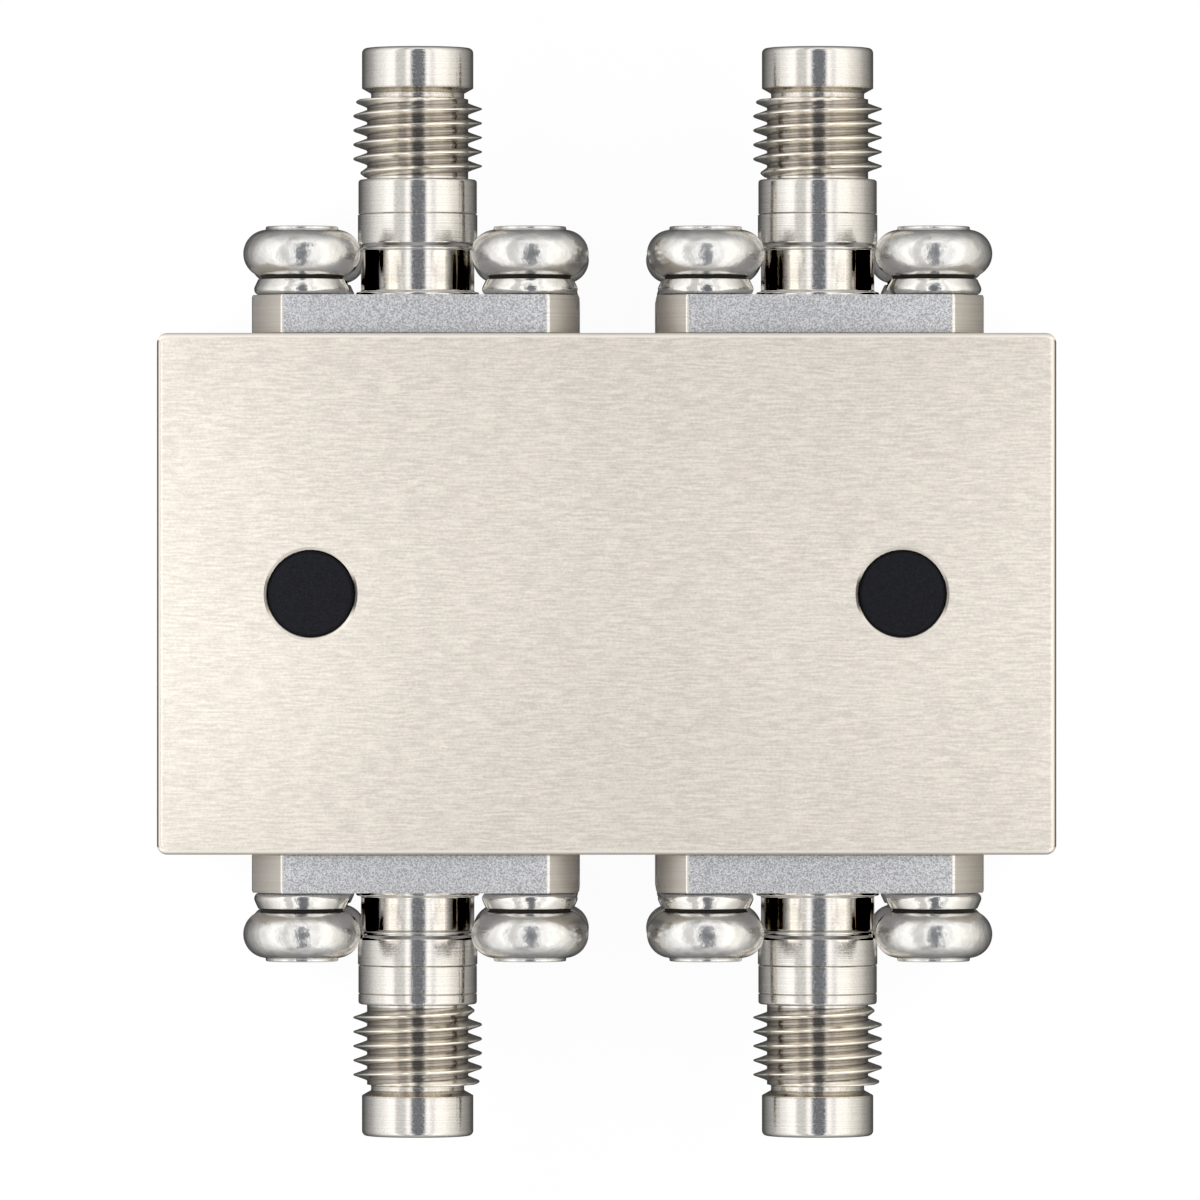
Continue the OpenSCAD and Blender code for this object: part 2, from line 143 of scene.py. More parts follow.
class Signal:
    """An output socket whose arithmetic adds Math nodes to its graph."""

    __add__ = math_method("ADD")
    __radd__ = math_method("ADD", swapped=True)
    __sub__ = math_method("SUBTRACT")
    __rsub__ = math_method("SUBTRACT", swapped=True)
    __mul__ = math_method("MULTIPLY")
    __rmul__ = math_method("MULTIPLY", swapped=True)
    __truediv__ = math_method("DIVIDE")
    __pow__ = math_method("POWER")
    __abs__ = math_method("ABSOLUTE")
    at_least = math_method("MAXIMUM")
    at_most = math_method("MINIMUM")

    def __init__(self, graph: Graph, socket: bpy.types.NodeSocket | None) -> None:
        """Wraps a socket.

        Args:
            graph: The graph that new nodes go into.
            socket: The output socket to wrap, or nothing for a node without outputs.
        """
        self.graph = graph
        self.socket = socket

    def clamped(self) -> Signal:
        """Returns this value, but at least 0 and at most 1."""
        return self.at_least(0.0).at_most(1.0)

    def ramp(self, start: float, end: float) -> Signal:
        """Rises or falls smoothly with this value.

        Args:
            start: Where the result is 0, as it is before it.
            end: Where the result is 1, as it is after it.

        Returns:
            The result.
        """
        settings = {"interpolation_type": "SMOOTHSTEP"}
        sockets = {"Value": self, "From Min": start, "From Max": end, "To Min": 0.0, "To Max": 1.0}
        return self.graph.node("ShaderNodeMapRange", settings, sockets)

    def window(self, low: float, high: float, soft: float) -> Signal:
        """Returns 1 between low and high and 0 outside, with edges of the soft width."""
        return self.ramp(low - soft, low + soft) * (1.0 - self.ramp(high - soft, high + soft))


Value = Signal | float


def find_socket(sockets: Any, key: str | int) -> bpy.types.NodeSocket:
    """Finds a socket.

    Args:
        sockets: A node's inputs or outputs.
        key: The socket's number, identifier or name.

    Returns:
        The first socket that fits.
    """
    if isinstance(key, int):
        return sockets[key]
    for socket in sockets:
        if socket.identifier == key:
            return socket
    return sockets[key]


class Graph:
    """A node tree that is filled from Python expressions."""

    def __init__(self, tree: bpy.types.NodeTree) -> None:
        """Wraps a tree.

        Args:
            tree: The empty node tree to fill.
        """
        self.tree = tree

    @classmethod
    def of(cls, owner: Material | bpy.types.World | bpy.types.Light) -> Graph:
        """Wraps the tree of a material, a world or a light.

        Args:
            owner: What the tree belongs to. Its nodes are deleted.

        Returns:
            The graph.
        """
        owner.use_nodes = True
        owner.node_tree.nodes.clear()
        return cls(owner.node_tree)

    def node(
        self,
        kind: str,
        settings: dict[str, Any] | None = None,
        sockets: dict[str | int, Any] | None = None,
        output: str | int = 0,
    ) -> Signal:
        """Adds one node.

        Args:
            kind: The node's type.
            settings: Its properties, set first; stops is a colour ramp's list of places and colours.
            sockets: The values or links of its inputs.
            output: The output that is returned.

        Returns:
            The chosen output.
        """
        made = self.tree.nodes.new(kind)
        for name, value in (settings or {}).items():
            if name == "stops":
                self.set_stops(made, value)
            else:
                setattr(made, name, value)
        for key, value in (sockets or {}).items():
            self.feed(find_socket(made.inputs, key), value)
        return Signal(self, find_socket(made.outputs, output) if len(made.outputs) else None)

    def feed(self, socket: bpy.types.NodeSocket, value: Any) -> None:
        """Links a signal to a socket, or sets the socket's own value.

        Args:
            socket: The input socket.
            value: A signal, a number, or a tuple of numbers.
        """
        if isinstance(value, Signal):
            self.tree.links.new(value.socket, socket)
        elif isinstance(value, tuple) and len(value) == 3 and socket.type == "RGBA":
            socket.default_value = (*value, 1.0)
        else:
            socket.default_value = value

    @staticmethod
    def set_stops(made: bpy.types.Node, stops: Sequence[tuple[float, Colour]]) -> None:
        """Gives a colour ramp its stops.

        Args:
            made: The colour ramp node.
            stops: Its places and colours, from first to last.
        """
        elements = made.color_ramp.elements
        while len(elements) < len(stops):
            elements.new(0.5)
        for element, (place, colour) in zip(elements, stops):
            element.position = place
            element.color = (*colour, 1.0)

    def math(self, operation: str, *values: Value) -> Signal:
        """Adds a Math node for the values, in order, and returns its result."""
        return self.node("ShaderNodeMath", {"operation": operation}, dict(enumerate(values)))

    def vector_math(self, operation: str, first: Signal, second: Sequence[float]) -> Signal:
        """Adds a Vector Math node for a vector and three numbers, and returns its result."""
        return self.node("ShaderNodeVectorMath", {"operation": operation}, {0: first, 1: tuple(second)})

    def combine(self, x: Value, y: Value, z: Value) -> Signal:
        """Returns a vector made of three values."""
        return self.node("ShaderNodeCombineXYZ", None, {"X": x, "Y": y, "Z": z})

    def separate(self, vector: Signal) -> tuple[Signal, ...]:
        """Returns the three values of a vector."""
        outputs = self.node("ShaderNodeSeparateXYZ", None, {"Vector": vector}).socket.node.outputs
        return tuple(Signal(self, output) for output in outputs)

    def noise(self, vector: Signal, scale: float, detail: float = 1.0, roughness: float = 0.5) -> Signal:
        """Makes soft noise.

        Args:
            vector: Where the noise is read.
            scale: How many of its cells there are in one unit.
            detail: How many finer layers it has.
            roughness: How strong the finer layers are.

        Returns:
            The noise, around 0.5.
        """
        sockets = {"Vector": vector, "Scale": scale, "Detail": detail, "Roughness": roughness}
        return self.node("ShaderNodeTexNoise", None, sockets, "Fac")

    def blend(self, share: Value, first: Colour | Signal, second: Colour | Signal) -> Signal:
        """Returns the first colour where share is 0 and the second where it is 1."""
        sockets = {"Factor_Float": share, "A_Color": first, "B_Color": second}
        return self.node("ShaderNodeMix", {"data_type": "RGBA"}, sockets, "Result_Color")

    def bump(self, height: Signal, depth: float) -> Signal:
        """Returns a normal that follows a height, with the given depth in metres for a height of 1."""
        sockets = {"Strength": 1.0, "Distance": depth, "Height": height}
        return self.node("ShaderNodeBump", None, sockets)


# Finishes


@dataclass(frozen=True)
class Finish:
    """What every finish has: a name, a base colour, and how metallic, rough and glossy it is."""

    name: str
    colour: Colour
    metallic: float = 1.0
    roughness: float = 0.3
    gloss: float = 0.5

    def material(self) -> Material:
        """Makes the finish's material.

        Returns:
            The new material.
        """
        made = bpy.data.materials.new(self.name)
        made.diffuse_color = (*self.colour, 1.0)
        graph = Graph.of(made)
        sockets = {"Metallic": self.metallic, "Specular IOR Level": self.gloss}
        shader = graph.node("ShaderNodeBsdfPrincipled", None, sockets)
        graph.node("ShaderNodeOutputMaterial", None, {"Surface": shader})
        place = graph.node("ShaderNodeTexCoord", None, None, "Object")
        for socket, value in self.pattern(graph, place).items():
            graph.feed(shader.socket.node.inputs[socket], value)
        return made

    def pattern(self, graph: Graph, place: Signal) -> dict[str, Any]:
        """Makes what changes over the surface.

        Args:
            graph: The material's graph.
            place: Object coordinates.

        Returns:
            The names of the shader's sockets, with their values or signals.
        """
        return {"Base Color": self.colour, "Roughness": self.roughness}

    def shade(self, factor: float) -> Colour:
        """Returns the base colour made darker or lighter by a factor."""
        return tuple(min(1.0, part * factor) for part in self.colour)

    def mottle(self, graph: Graph, tone: Signal, dark: float, light: float) -> Signal:
        """Returns the base colour, by one factor where the tone is 0 and by the other where it is 1."""
        return graph.blend(tone, self.shade(dark), self.shade(light))


@dataclass(frozen=True)
class BrushedFinish(Finish):
    """Fine brushing in short wavering strokes: along X, and along Y on the faces that look along X.

    The rounded edges at the sides are smooth metal in painted shade; the lower edges carry part of it and
    the others a painted highlight.
    """

    stroke_length: float = 1.1 * MM
    stroke_width: float = 0.1 * MM
    stroke_roughness: float = 0.16
    sway: float = 0.18 * MM
    sways_per_metre: float = 700.0
    grains_per_metre: float = 9000.0
    clouds_per_metre: float = 60.0
    contrast: float = 0.22
    depth: float = 0.0025 * MM
    edge_roughness: float = 0.15
    # Colour factors of the painted shade and the painted highlight on the rounded edges, and the lower
    # edges' part of the painted shade.
    painted_shade_factor: float = 0.36
    painted_highlight_factor: float = 1.2
    lower_edge_painted_shade_share: float = 0.45

    def strokes(self, graph: Graph, place: Signal, looks_sideways: Signal) -> Signal:
        """Makes the brushed strokes.

        Args:
            graph: The material's graph.
            place: Object coordinates.
            looks_sideways: 1 on the faces that look along X, and 0 on the others.

        Returns:
            Their height, from 0 to 1.
        """
        along = 1.0 / self.stroke_length
        across = 1.0 / self.stroke_width
        wander = graph.noise(place, self.sways_per_metre) * self.sway
        x, y, z = graph.separate(place)
        along_x = graph.combine(x * along, (y + wander) * across, (z + wander) * across)
        along_y = graph.combine((x + wander) * across, y * along, (z + wander) * across)
        first, second = (graph.noise(spot, 1.0, 3.0, 0.6) for spot in (along_x, along_y))
        return first * (1.0 - looks_sideways) + second * looks_sideways

    def pattern(self, graph: Graph, place: Signal) -> dict[str, Any]:
        """Makes the brushed faces, and the smooth edges with their painted shade and painted highlight.

        Args:
            graph: The material's graph.
            place: Object coordinates.

        Returns:
            Colour, roughness, metallic part and bump.
        """
        x, y, z = graph.separate(graph.node("ShaderNodeTexCoord", None, None, "Normal"))
        on_face = abs(x).at_least(abs(y)).at_least(abs(z)).ramp(0.93, 0.99)
        sideways = abs(x).ramp(0.1, 0.3) * (1.0 - abs(y).ramp(0.15, 0.4))
        brushed = on_face.at_least(1.0 - sideways)
        # Painted shade: the lower edges take part of the dark edge colour, the upper edges none.
        lower_edge_painted_shade = self.lower_edge_painted_shade_share - y.ramp(-0.1, 0.1) * self.lower_edge_painted_shade_share
        painted_shade_share = (1.0 - abs(z).ramp(0.55, 0.85)) * lower_edge_painted_shade.at_least(sideways)
        strokes = self.strokes(graph, place, abs(x).ramp(0.6, 0.8))
        cloud = graph.noise(place, self.clouds_per_metre, 2.0)
        grain = graph.noise(place, self.grains_per_metre)
        tone = strokes.ramp(0.3, 0.7) * 0.6 + grain.ramp(0.3, 0.7) * 0.28 + cloud.ramp(0.35, 0.65) * 0.12
        # Painted light on the edges: a painted highlight where the share is 0, painted dark shade where it
        # is 1.
        edge = self.mottle(graph, painted_shade_share, self.painted_highlight_factor, self.painted_shade_factor)
        face = self.mottle(graph, tone, 1.0 - self.contrast, 1.0 + self.contrast * 0.7)
        least_rough = self.roughness - self.stroke_roughness / 2
        rough = strokes * self.stroke_roughness + (least_rough - self.edge_roughness)
        return {
            "Base Color": graph.blend(on_face, edge, face),
            "Roughness": rough * brushed + self.edge_roughness,
            "Metallic": 1.0 - brushed * (1.0 - self.metallic),
            "Normal": graph.bump(strokes, self.depth),
        }


@dataclass(frozen=True)
class TurnedFinish(Finish):
    """A lathe's fine rings round an axis along Y, over a light grain."""

    ring_width: float = 0.06 * MM
    arcs_per_metre: float = 90.0
    contrast: float = 0.14
    depth: float = 0.004 * MM
    grain: float = 0.1 * MM
    grain_roughness: float = 0.14

    def pattern(self, graph: Graph, place: Signal) -> dict[str, Any]:
        """Makes the rings and the grain.

        Args:
            graph: The material's graph.
            place: Object coordinates.

        Returns:
            Colour, roughness and bump.
        """
        scales = (self.arcs_per_metre, 1.0 / self.ring_width, self.arcs_per_metre)
        rings = graph.noise(graph.vector_math("MULTIPLY", place, scales), 1.0, 3.0, 0.65)
        grain = graph.noise(place, 1.0 / self.grain)
        tone = rings.ramp(0.3, 0.7) * 0.6 + grain.ramp(0.3, 0.7) * 0.4
        return {
            "Base Color": self.mottle(graph, tone, 1.0 - self.contrast, 1.0 + self.contrast * 0.6),
            "Roughness": grain.ramp(0.35, 0.7) * self.grain_roughness + (self.roughness - 0.05),
            "Normal": graph.bump(rings, self.depth),
        }


@dataclass(frozen=True)
class BlastedFinish(Finish):
    """A fine blasted grain, whose bright lines run like small worms round the pits."""

    grain: float = 0.115 * MM
    fineness: float = 2.1
    contrast: float = 0.3
    depth: float = 0.01 * MM

    def pattern(self, graph: Graph, place: Signal) -> dict[str, Any]:
        """Makes the grain.

        Args:
            graph: The material's graph.
            place: Object coordinates.

        Returns:
            Colour, roughness and bump.
        """
        coarse = graph.noise(place, 1.0 / self.grain)
        fine = graph.noise(place, self.fineness / self.grain)
        ridges = 1.0 - abs(coarse - 0.5).ramp(0.0, 0.12)
        height = ridges * 0.55 + fine * 0.45
        tone = height.ramp(0.15, 0.75)
        return {
            "Base Color": self.mottle(graph, tone, 1.0 - self.contrast, 1.0 + self.contrast),
            "Roughness": fine * 0.2 + (self.roughness - 0.1),
            "Normal": graph.bump(height, self.depth),
        }


@dataclass(frozen=True)
class PolishedFinish(Finish):
    """Barrel-polished metal: broad faint dents, small sharper ones, and duller patches."""

    dent: float = 1.1 * MM
    depth: float = 0.06 * MM
    nick: float = 0.35 * MM
    nick_depth: float = 0.02 * MM

    def pattern(self, graph: Graph, place: Signal) -> dict[str, Any]:
        """Makes the dents.

        Args:
            graph: The material's graph.
            place: Object coordinates.

        Returns:
            Colour, roughness and bump.
        """
        dents = graph.noise(place, 1.0 / self.dent)
        nicks = graph.noise(place, 1.0 / self.nick, 3.0, 0.6)
        height = dents + nicks * (self.nick_depth / self.depth)
        tone = dents.ramp(0.35, 0.7) * 0.5 + nicks.ramp(0.3, 0.7) * 0.5
        return {
            "Base Color": self.mottle(graph, tone, 0.9, 1.05),
            "Roughness": dents.ramp(0.45, 0.75) * 0.08 + nicks * 0.08 + (self.roughness - 0.06),
            "Normal": graph.bump(height, self.depth),
        }


@dataclass(frozen=True)
class MouldedFinish(Finish):
    """Moulded or cut plastic with a fine grain."""

    metallic: float = 0.0
    grain: float = 0.09 * MM
    contrast: float = 0.2
    depth: float = 0.004 * MM

    def pattern(self, graph: Graph, place: Signal) -> dict[str, Any]:
        """Makes the grain.

        Args:
            graph: The material's graph.
            place: Object coordinates.

        Returns:
            Colour, roughness and bump.
        """
        grains = graph.noise(place, 1.0 / self.grain, 3.0, 0.6)
        tone = grains.ramp(0.3, 0.7)
        return {
            "Base Color": self.mottle(graph, tone, 1.0 - self.contrast, 1.0 + self.contrast),
            "Roughness": grains * 0.12 + (self.roughness - 0.06),
            "Normal": graph.bump(grains, self.depth),
        }


@dataclass(frozen=True)
class Palette:
    """All the object's finishes."""

    block: Finish = BrushedFinish("brushed_block", (0.615, 0.570, 0.508), 0.6, 0.42)
    cover: Finish = BrushedFinish("brushed_cover", (0.76, 0.71, 0.64), 0.9, 0.38)
    barrel: Finish = TurnedFinish("turned_steel", (0.765, 0.735, 0.69), 1.0, 0.12)
    # Painted light and shade on the thread: the flanks towards the flange are a lighter copy than those
    # towards the tip, and the roots a darker copy, painted shade.
    tip_flank: Finish = TurnedFinish(
        "thread_flank_to_tip", (0.9, 0.86, 0.805), 1.0, 0.14, contrast=0.06, grain_roughness=0.05
    )
    flange_flank: Finish = TurnedFinish(
        "thread_flank_to_flange", (0.95, 0.92, 0.86), 1.0, 0.22, contrast=0.06, grain_roughness=0.05
    )
    root: Finish = TurnedFinish(
        "thread_root", (0.38, 0.348, 0.31), 1.0, 0.15, contrast=0.1, grain_roughness=0.05
    )
    neck: Finish = TurnedFinish("thread_neck", (0.72, 0.675, 0.61), 1.0, 0.14, contrast=0.3)
    # Painted highlight: a near-white copy of turned steel for the bead under the ring.
    lip: Finish = TurnedFinish("polished_lip", (0.97, 0.95, 0.92), 1.0, 0.1, contrast=0.05)
    flange: Finish = BlastedFinish("blasted_steel", (0.55, 0.55, 0.566), 0.9, 0.5)
    chamfer: Finish = TurnedFinish("milled_chamfer", (0.525, 0.488, 0.44), 1.0, 0.4)
    screw: Finish = PolishedFinish("polished_screw", (0.80, 0.785, 0.755), 1.0, 0.22)
    # Painted shade: near-black for the screws' seat and shank, in the dark gap under the head.
    seat: Finish = MouldedFinish("shaded_seat", (0.012, 0.011, 0.010), 0.0, 0.7, 0.1)
    washer: Finish = PolishedFinish(
        "polished_washer", (0.78, 0.76, 0.72), 1.0, 0.13, nick_depth=0.012 * MM
    )
    small_screw: Finish = TurnedFinish("small_screw_steel", (0.66, 0.63, 0.60), 1.0, 0.3)
    gold: Finish = PolishedFinish("contact_gold", (0.86, 0.62, 0.25), 1.0, 0.2)
    copper: Finish = BrushedFinish("strip_copper", (0.80, 0.43, 0.27), 1.0, 0.3)
    laminate: Finish = MouldedFinish("laminate", (0.74, 0.74, 0.68), 0.0, 0.6)
    bead: Finish = MouldedFinish("bead_plastic", (0.62, 0.45, 0.18), 0.0, 0.35)
    line: Finish = MouldedFinish("line_plastic", (0.85, 0.85, 0.83), 0.0, 0.4)
    plug: Finish = MouldedFinish(
        "plug_black", (0.0041, 0.0043, 0.0058), 0.0, 0.62, 0.13, contrast=0.45
    )


# Mesh helpers


@dataclass(frozen=True)
class Corner:
    """A corner of a half outline: its distance from the axis, its height, and its round."""

    r: float
    z: float
    round: float = 0.0


def supported(points: Outline, reach: float = 0.02 * MM) -> Outline:
    """Adds a point near both ends of each long stretch, so that it is shaded flat.

    Args:
        points: Points of radius and height.
        reach: How far the new points are from the stretch's ends.

    Returns:
        The old and the new points, in order.
    """
    made = [points[0]]
    for near, far in zip(points, points[1:]):
        gap = Vector(far) - Vector(near)
        if gap.length > 5 * reach:
            step = gap.normalized() * reach
            made += [tuple(Vector(near) + step), tuple(Vector(far) - step)]
        made.append(far)
    return made


def rounded_path(corners: Sequence[Corner], steps: int = 5) -> Outline:
    """Turns corners into points, with each rounded corner as an arc.

    Args:
        corners: The corners in order; the first and the last stay sharp.
        steps: How many straight pieces an arc has.

    Returns:
        Points of radius and height.
    """
    points = [(corners[0].r, corners[0].z)]
    for before, here, after in zip(corners, corners[1:], corners[2:]):
        if here.round <= 0.0:
            points.append((here.r, here.z))
            continue
        corner = Vector((here.r, here.z))
        to_before = (Vector((before.r, before.z)) - corner).normalized()
        to_after = (Vector((after.r, after.z)) - corner).normalized()
        half = to_before.angle(to_after) / 2
        reach = here.round / math.tan(half)
        centre = corner + (to_before + to_after).normalized() * here.round / math.sin(half)
        start = corner + to_before * reach - centre
        sweep = start.angle_signed(corner + to_after * reach - centre)
        for step in range(steps + 1):
            points.append(tuple(centre + Matrix.Rotation(-sweep * step / steps, 2) @ start))
    points.append((corners[-1].r, corners[-1].z))
    return points


def ring(mesh: BMesh, radius: float, z: float, count: int) -> list[BMVert]:
    """Adds a circle of points round the Z axis.

    Args:
        mesh: The mesh that it goes into.
        radius: The circle's radius.
        z: Its height.
        count: How many points it has.

    Returns:
        The points, from +X anticlockwise.
    """
    angles = (math.tau * i / count for i in range(count))
    return [mesh.verts.new((radius * math.cos(a), radius * math.sin(a), z)) for a in angles]


def bridge(mesh: BMesh, low: Sequence[BMVert], high: Sequence[BMVert], slot: int = 0) -> None:
    """Joins two closed loops by faces.

    Args:
        mesh: The mesh.
        low: The first loop, or a single point.
        high: The second loop, with as many points, or a single point.
        slot: The faces' material slot.
    """
    for i in range(max(len(low), len(high))):
        corners = (low[i % len(low)], low[(i + 1) % len(low)])
        corners += (high[(i + 1) % len(high)], high[i % len(high)])
        face = mesh.faces.new(tuple(dict.fromkeys(corners)))
        face.material_index = slot
        face.smooth = True


def revolve(mesh: BMesh, path: Outline, count: int, slot: int = 0) -> None:
    """Turns a half outline round the Z axis.

    Args:
        mesh: The mesh that it goes into.
        path: Points of radius and height; an end on the axis closes in a point.
        count: How many points a ring has.
        slot: The faces' material slot.
    """
    loops = [ring(mesh, radius, z, count if radius > 0.0 else 1) for radius, z in path]
    for before, loop in zip(loops, loops[1:]):
        bridge(mesh, before, loop, slot)


def loop_edges(mesh: BMesh, loop: list[BMVert]) -> list[BMEdge]:
    """Returns the edges of a closed loop of points, adding those that are missing."""
    pairs = zip(loop, loop[1:] + loop[:1])
    return [mesh.edges.get(pair) or mesh.edges.new(pair) for pair in pairs]


def fill_between(mesh: BMesh, loops: Sequence[list[BMVert]], slot: int) -> None:
    """Fills a flat face that has an outer loop and holes.

    Args:
        mesh: The mesh.
        loops: The outer loop and the loops of the holes.
        slot: The faces' material slot.
    """
    edges = [edge for loop in loops for edge in loop_edges(mesh, loop)]
    made = bmesh.ops.triangle_fill(mesh, use_beauty=True, edges=edges, normal=(0, 0, 1))
    for face in made["geom"]:
        if isinstance(face, BMFace):
            face.material_index = slot
            face.smooth = False


def finished_object(name: str, mesh: BMesh, materials: Sequence[Material]) -> Object:
    """Turns a mesh into a scene object at the origin, with outward faces and sharp creases.

    Args:
        name: The object's name.
        mesh: The finished mesh, which is freed.
        materials: Its material slots, in order.

    Returns:
        The new object.
    """
    bmesh.ops.remove_doubles(mesh, verts=mesh.verts, dist=SAME_PLACE)
    bmesh.ops.recalc_face_normals(mesh, faces=mesh.faces)
    data = bpy.data.meshes.new(name)
    mesh.to_mesh(data)
    mesh.free()
    data.set_sharp_from_angle(angle=CREASE_ANGLE)
    for material in materials:
        data.materials.append(material)
    return add_object(name, data)


class Recipe:
    """A Geometry Nodes tree with named inputs, and the modifier that runs it once."""

    def __init__(self, name: str) -> None:
        """Starts an empty tree.

        Args:
            name: The tree's name.
        """
        self.tree = bpy.data.node_groups.new(name, "GeometryNodeTree")
        self.graph = Graph(self.tree)
        self.values: dict[str, Any] = {}
        self.tree.interface.new_socket("Geometry", in_out="OUTPUT", socket_type="NodeSocketGeometry")
        self.entry = self.tree.nodes.new("NodeGroupInput")

    def take(self, name: str, socket_type: str, value: Any = None) -> Signal:
        """Adds a named input.

        Args:
            name: The input's name.
            socket_type: Its socket type.
            value: What the modifier sets it to.

        Returns:
            The input as a signal.
        """
        socket = self.tree.interface.new_socket(name, in_out="INPUT", socket_type=socket_type)
        if value is not None:
            self.values[socket.identifier] = value
        return Signal(self.graph, find_socket(self.entry.outputs, socket.identifier))

    def number(self, name: str, value: float) -> Signal:
        """Adds a named input for a number and returns it."""
        return self.take(name, "NodeSocketFloat", float(value))

    def finish(self, geometry: Signal, material: Signal, selection: Signal | bool = True) -> Signal:
        """Gives a geometry's selected faces a material, and returns the geometry."""
        sockets = {"Geometry": geometry, "Selection": selection, "Material": material}
        return self.graph.node("GeometryNodeSetMaterial", None, sockets)

    def run(self, geometry: Signal, start: Mesh) -> Mesh:
        """Makes a geometry the tree's result, and runs the tree.

        Args:
            geometry: The result.
            start: The mesh that the tree starts from.

        Returns:
            The result as a plain mesh.
        """
        self.graph.node("NodeGroupOutput", None, {0: geometry})
        holder = add_object(self.tree.name, start)
        modifier = holder.modifiers.new(self.tree.name, "NODES")
        modifier.node_group = self.tree
        for identifier, value in self.values.items():
            modifier[identifier] = value
        bpy.context.view_layer.update()
        evaluated = holder.evaluated_get(bpy.context.evaluated_depsgraph_get())
        made = bpy.data.meshes.new_from_object(evaluated)
        holder.modifiers.remove(modifier)
        bpy.data.objects.remove(holder)
        return made

    def run_on_places(
        self, points: Signal, one: Signal, finishes: Sequence[Signal], places: Mesh
    ) -> Object:
        """Puts a copy of one piece on each place.

        Args:
            points: The places, which carry their turn.
            one: The piece that is copied.
            finishes: The copies' materials, one for each of the piece's slots.
            places: The mesh that holds the places.

        Returns:
            The copies as one finished object.
        """
        graph = self.graph
        settings = {"data_type": "FLOAT_VECTOR"}
        turn = graph.node("GeometryNodeInputNamedAttribute", settings, {"Name": "turn"}, "Attribute")
        sockets = {"Points": points, "Instance": one, "Rotation": turn}
        copies = graph.node("GeometryNodeInstanceOnPoints", None, sockets)
        real = graph.node("GeometryNodeRealizeInstances", None, {"Geometry": copies})
        slot = graph.node("GeometryNodeInputMaterialIndex")
        for number, finish in reversed(list(enumerate(finishes))):
            real = self.finish(real, finish, graph.math("COMPARE", slot, float(number), 0.5))
        data = self.run(real, places)
        mesh = bmesh.new()
        mesh.from_mesh(data)
        return finished_object(self.tree.name, mesh, [material for material in data.materials if material])


# Connectors


@dataclass(frozen=True)
class Port:
    """One of the four ports, and where the frame puts it."""

    end: End
    side: Side

    @property
    def name(self) -> str:
        """The port's name, as the frame's nodes begin."""
        return f"{self.end.name.lower()}_{self.side.name.lower()}"

    def placing(self) -> Matrix:
        """Finds where the port is.

        Returns:
            The matrix from the port's own axes, with +Z outwards from the block, to the frame.
        """
        low, high = (Vector(corner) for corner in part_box(f"{self.name}_shell"))
        middle = (low + high) / 2
        face_y = low.y if self.end is End.UPPER else high.y
        turn = Matrix.Rotation(-self.end.value * math.pi / 2, 4, "X")
        return Matrix.Translation((middle.x, face_y, middle.z)) @ turn


PORTS = [Port(end, side) for end in End for side in Side]


@dataclass(frozen=True)
class BarrelSteps:
    """Heights above the flange of one end's barrels, and where their thread's helix starts."""

    foot_grooves: tuple[float, ...]
    base: float
    ring_end: float
    grooves: tuple[float, ...]
    shoulder: float
    thread_start: float
    thread_end: float
    neck_end: float
    tip: float
    phase: float


class Slot(IntEnum):
    """A material slot of the connector shells, whose finish has the same name."""

    BARREL = 0
    FLANGE = 1
    CHAMFER = 2
    TIP_FLANK = 3
    FLANGE_FLANK = 4
    ROOT = 5
    NECK = 6
    # The bead's painted highlight.
    LIP = 7


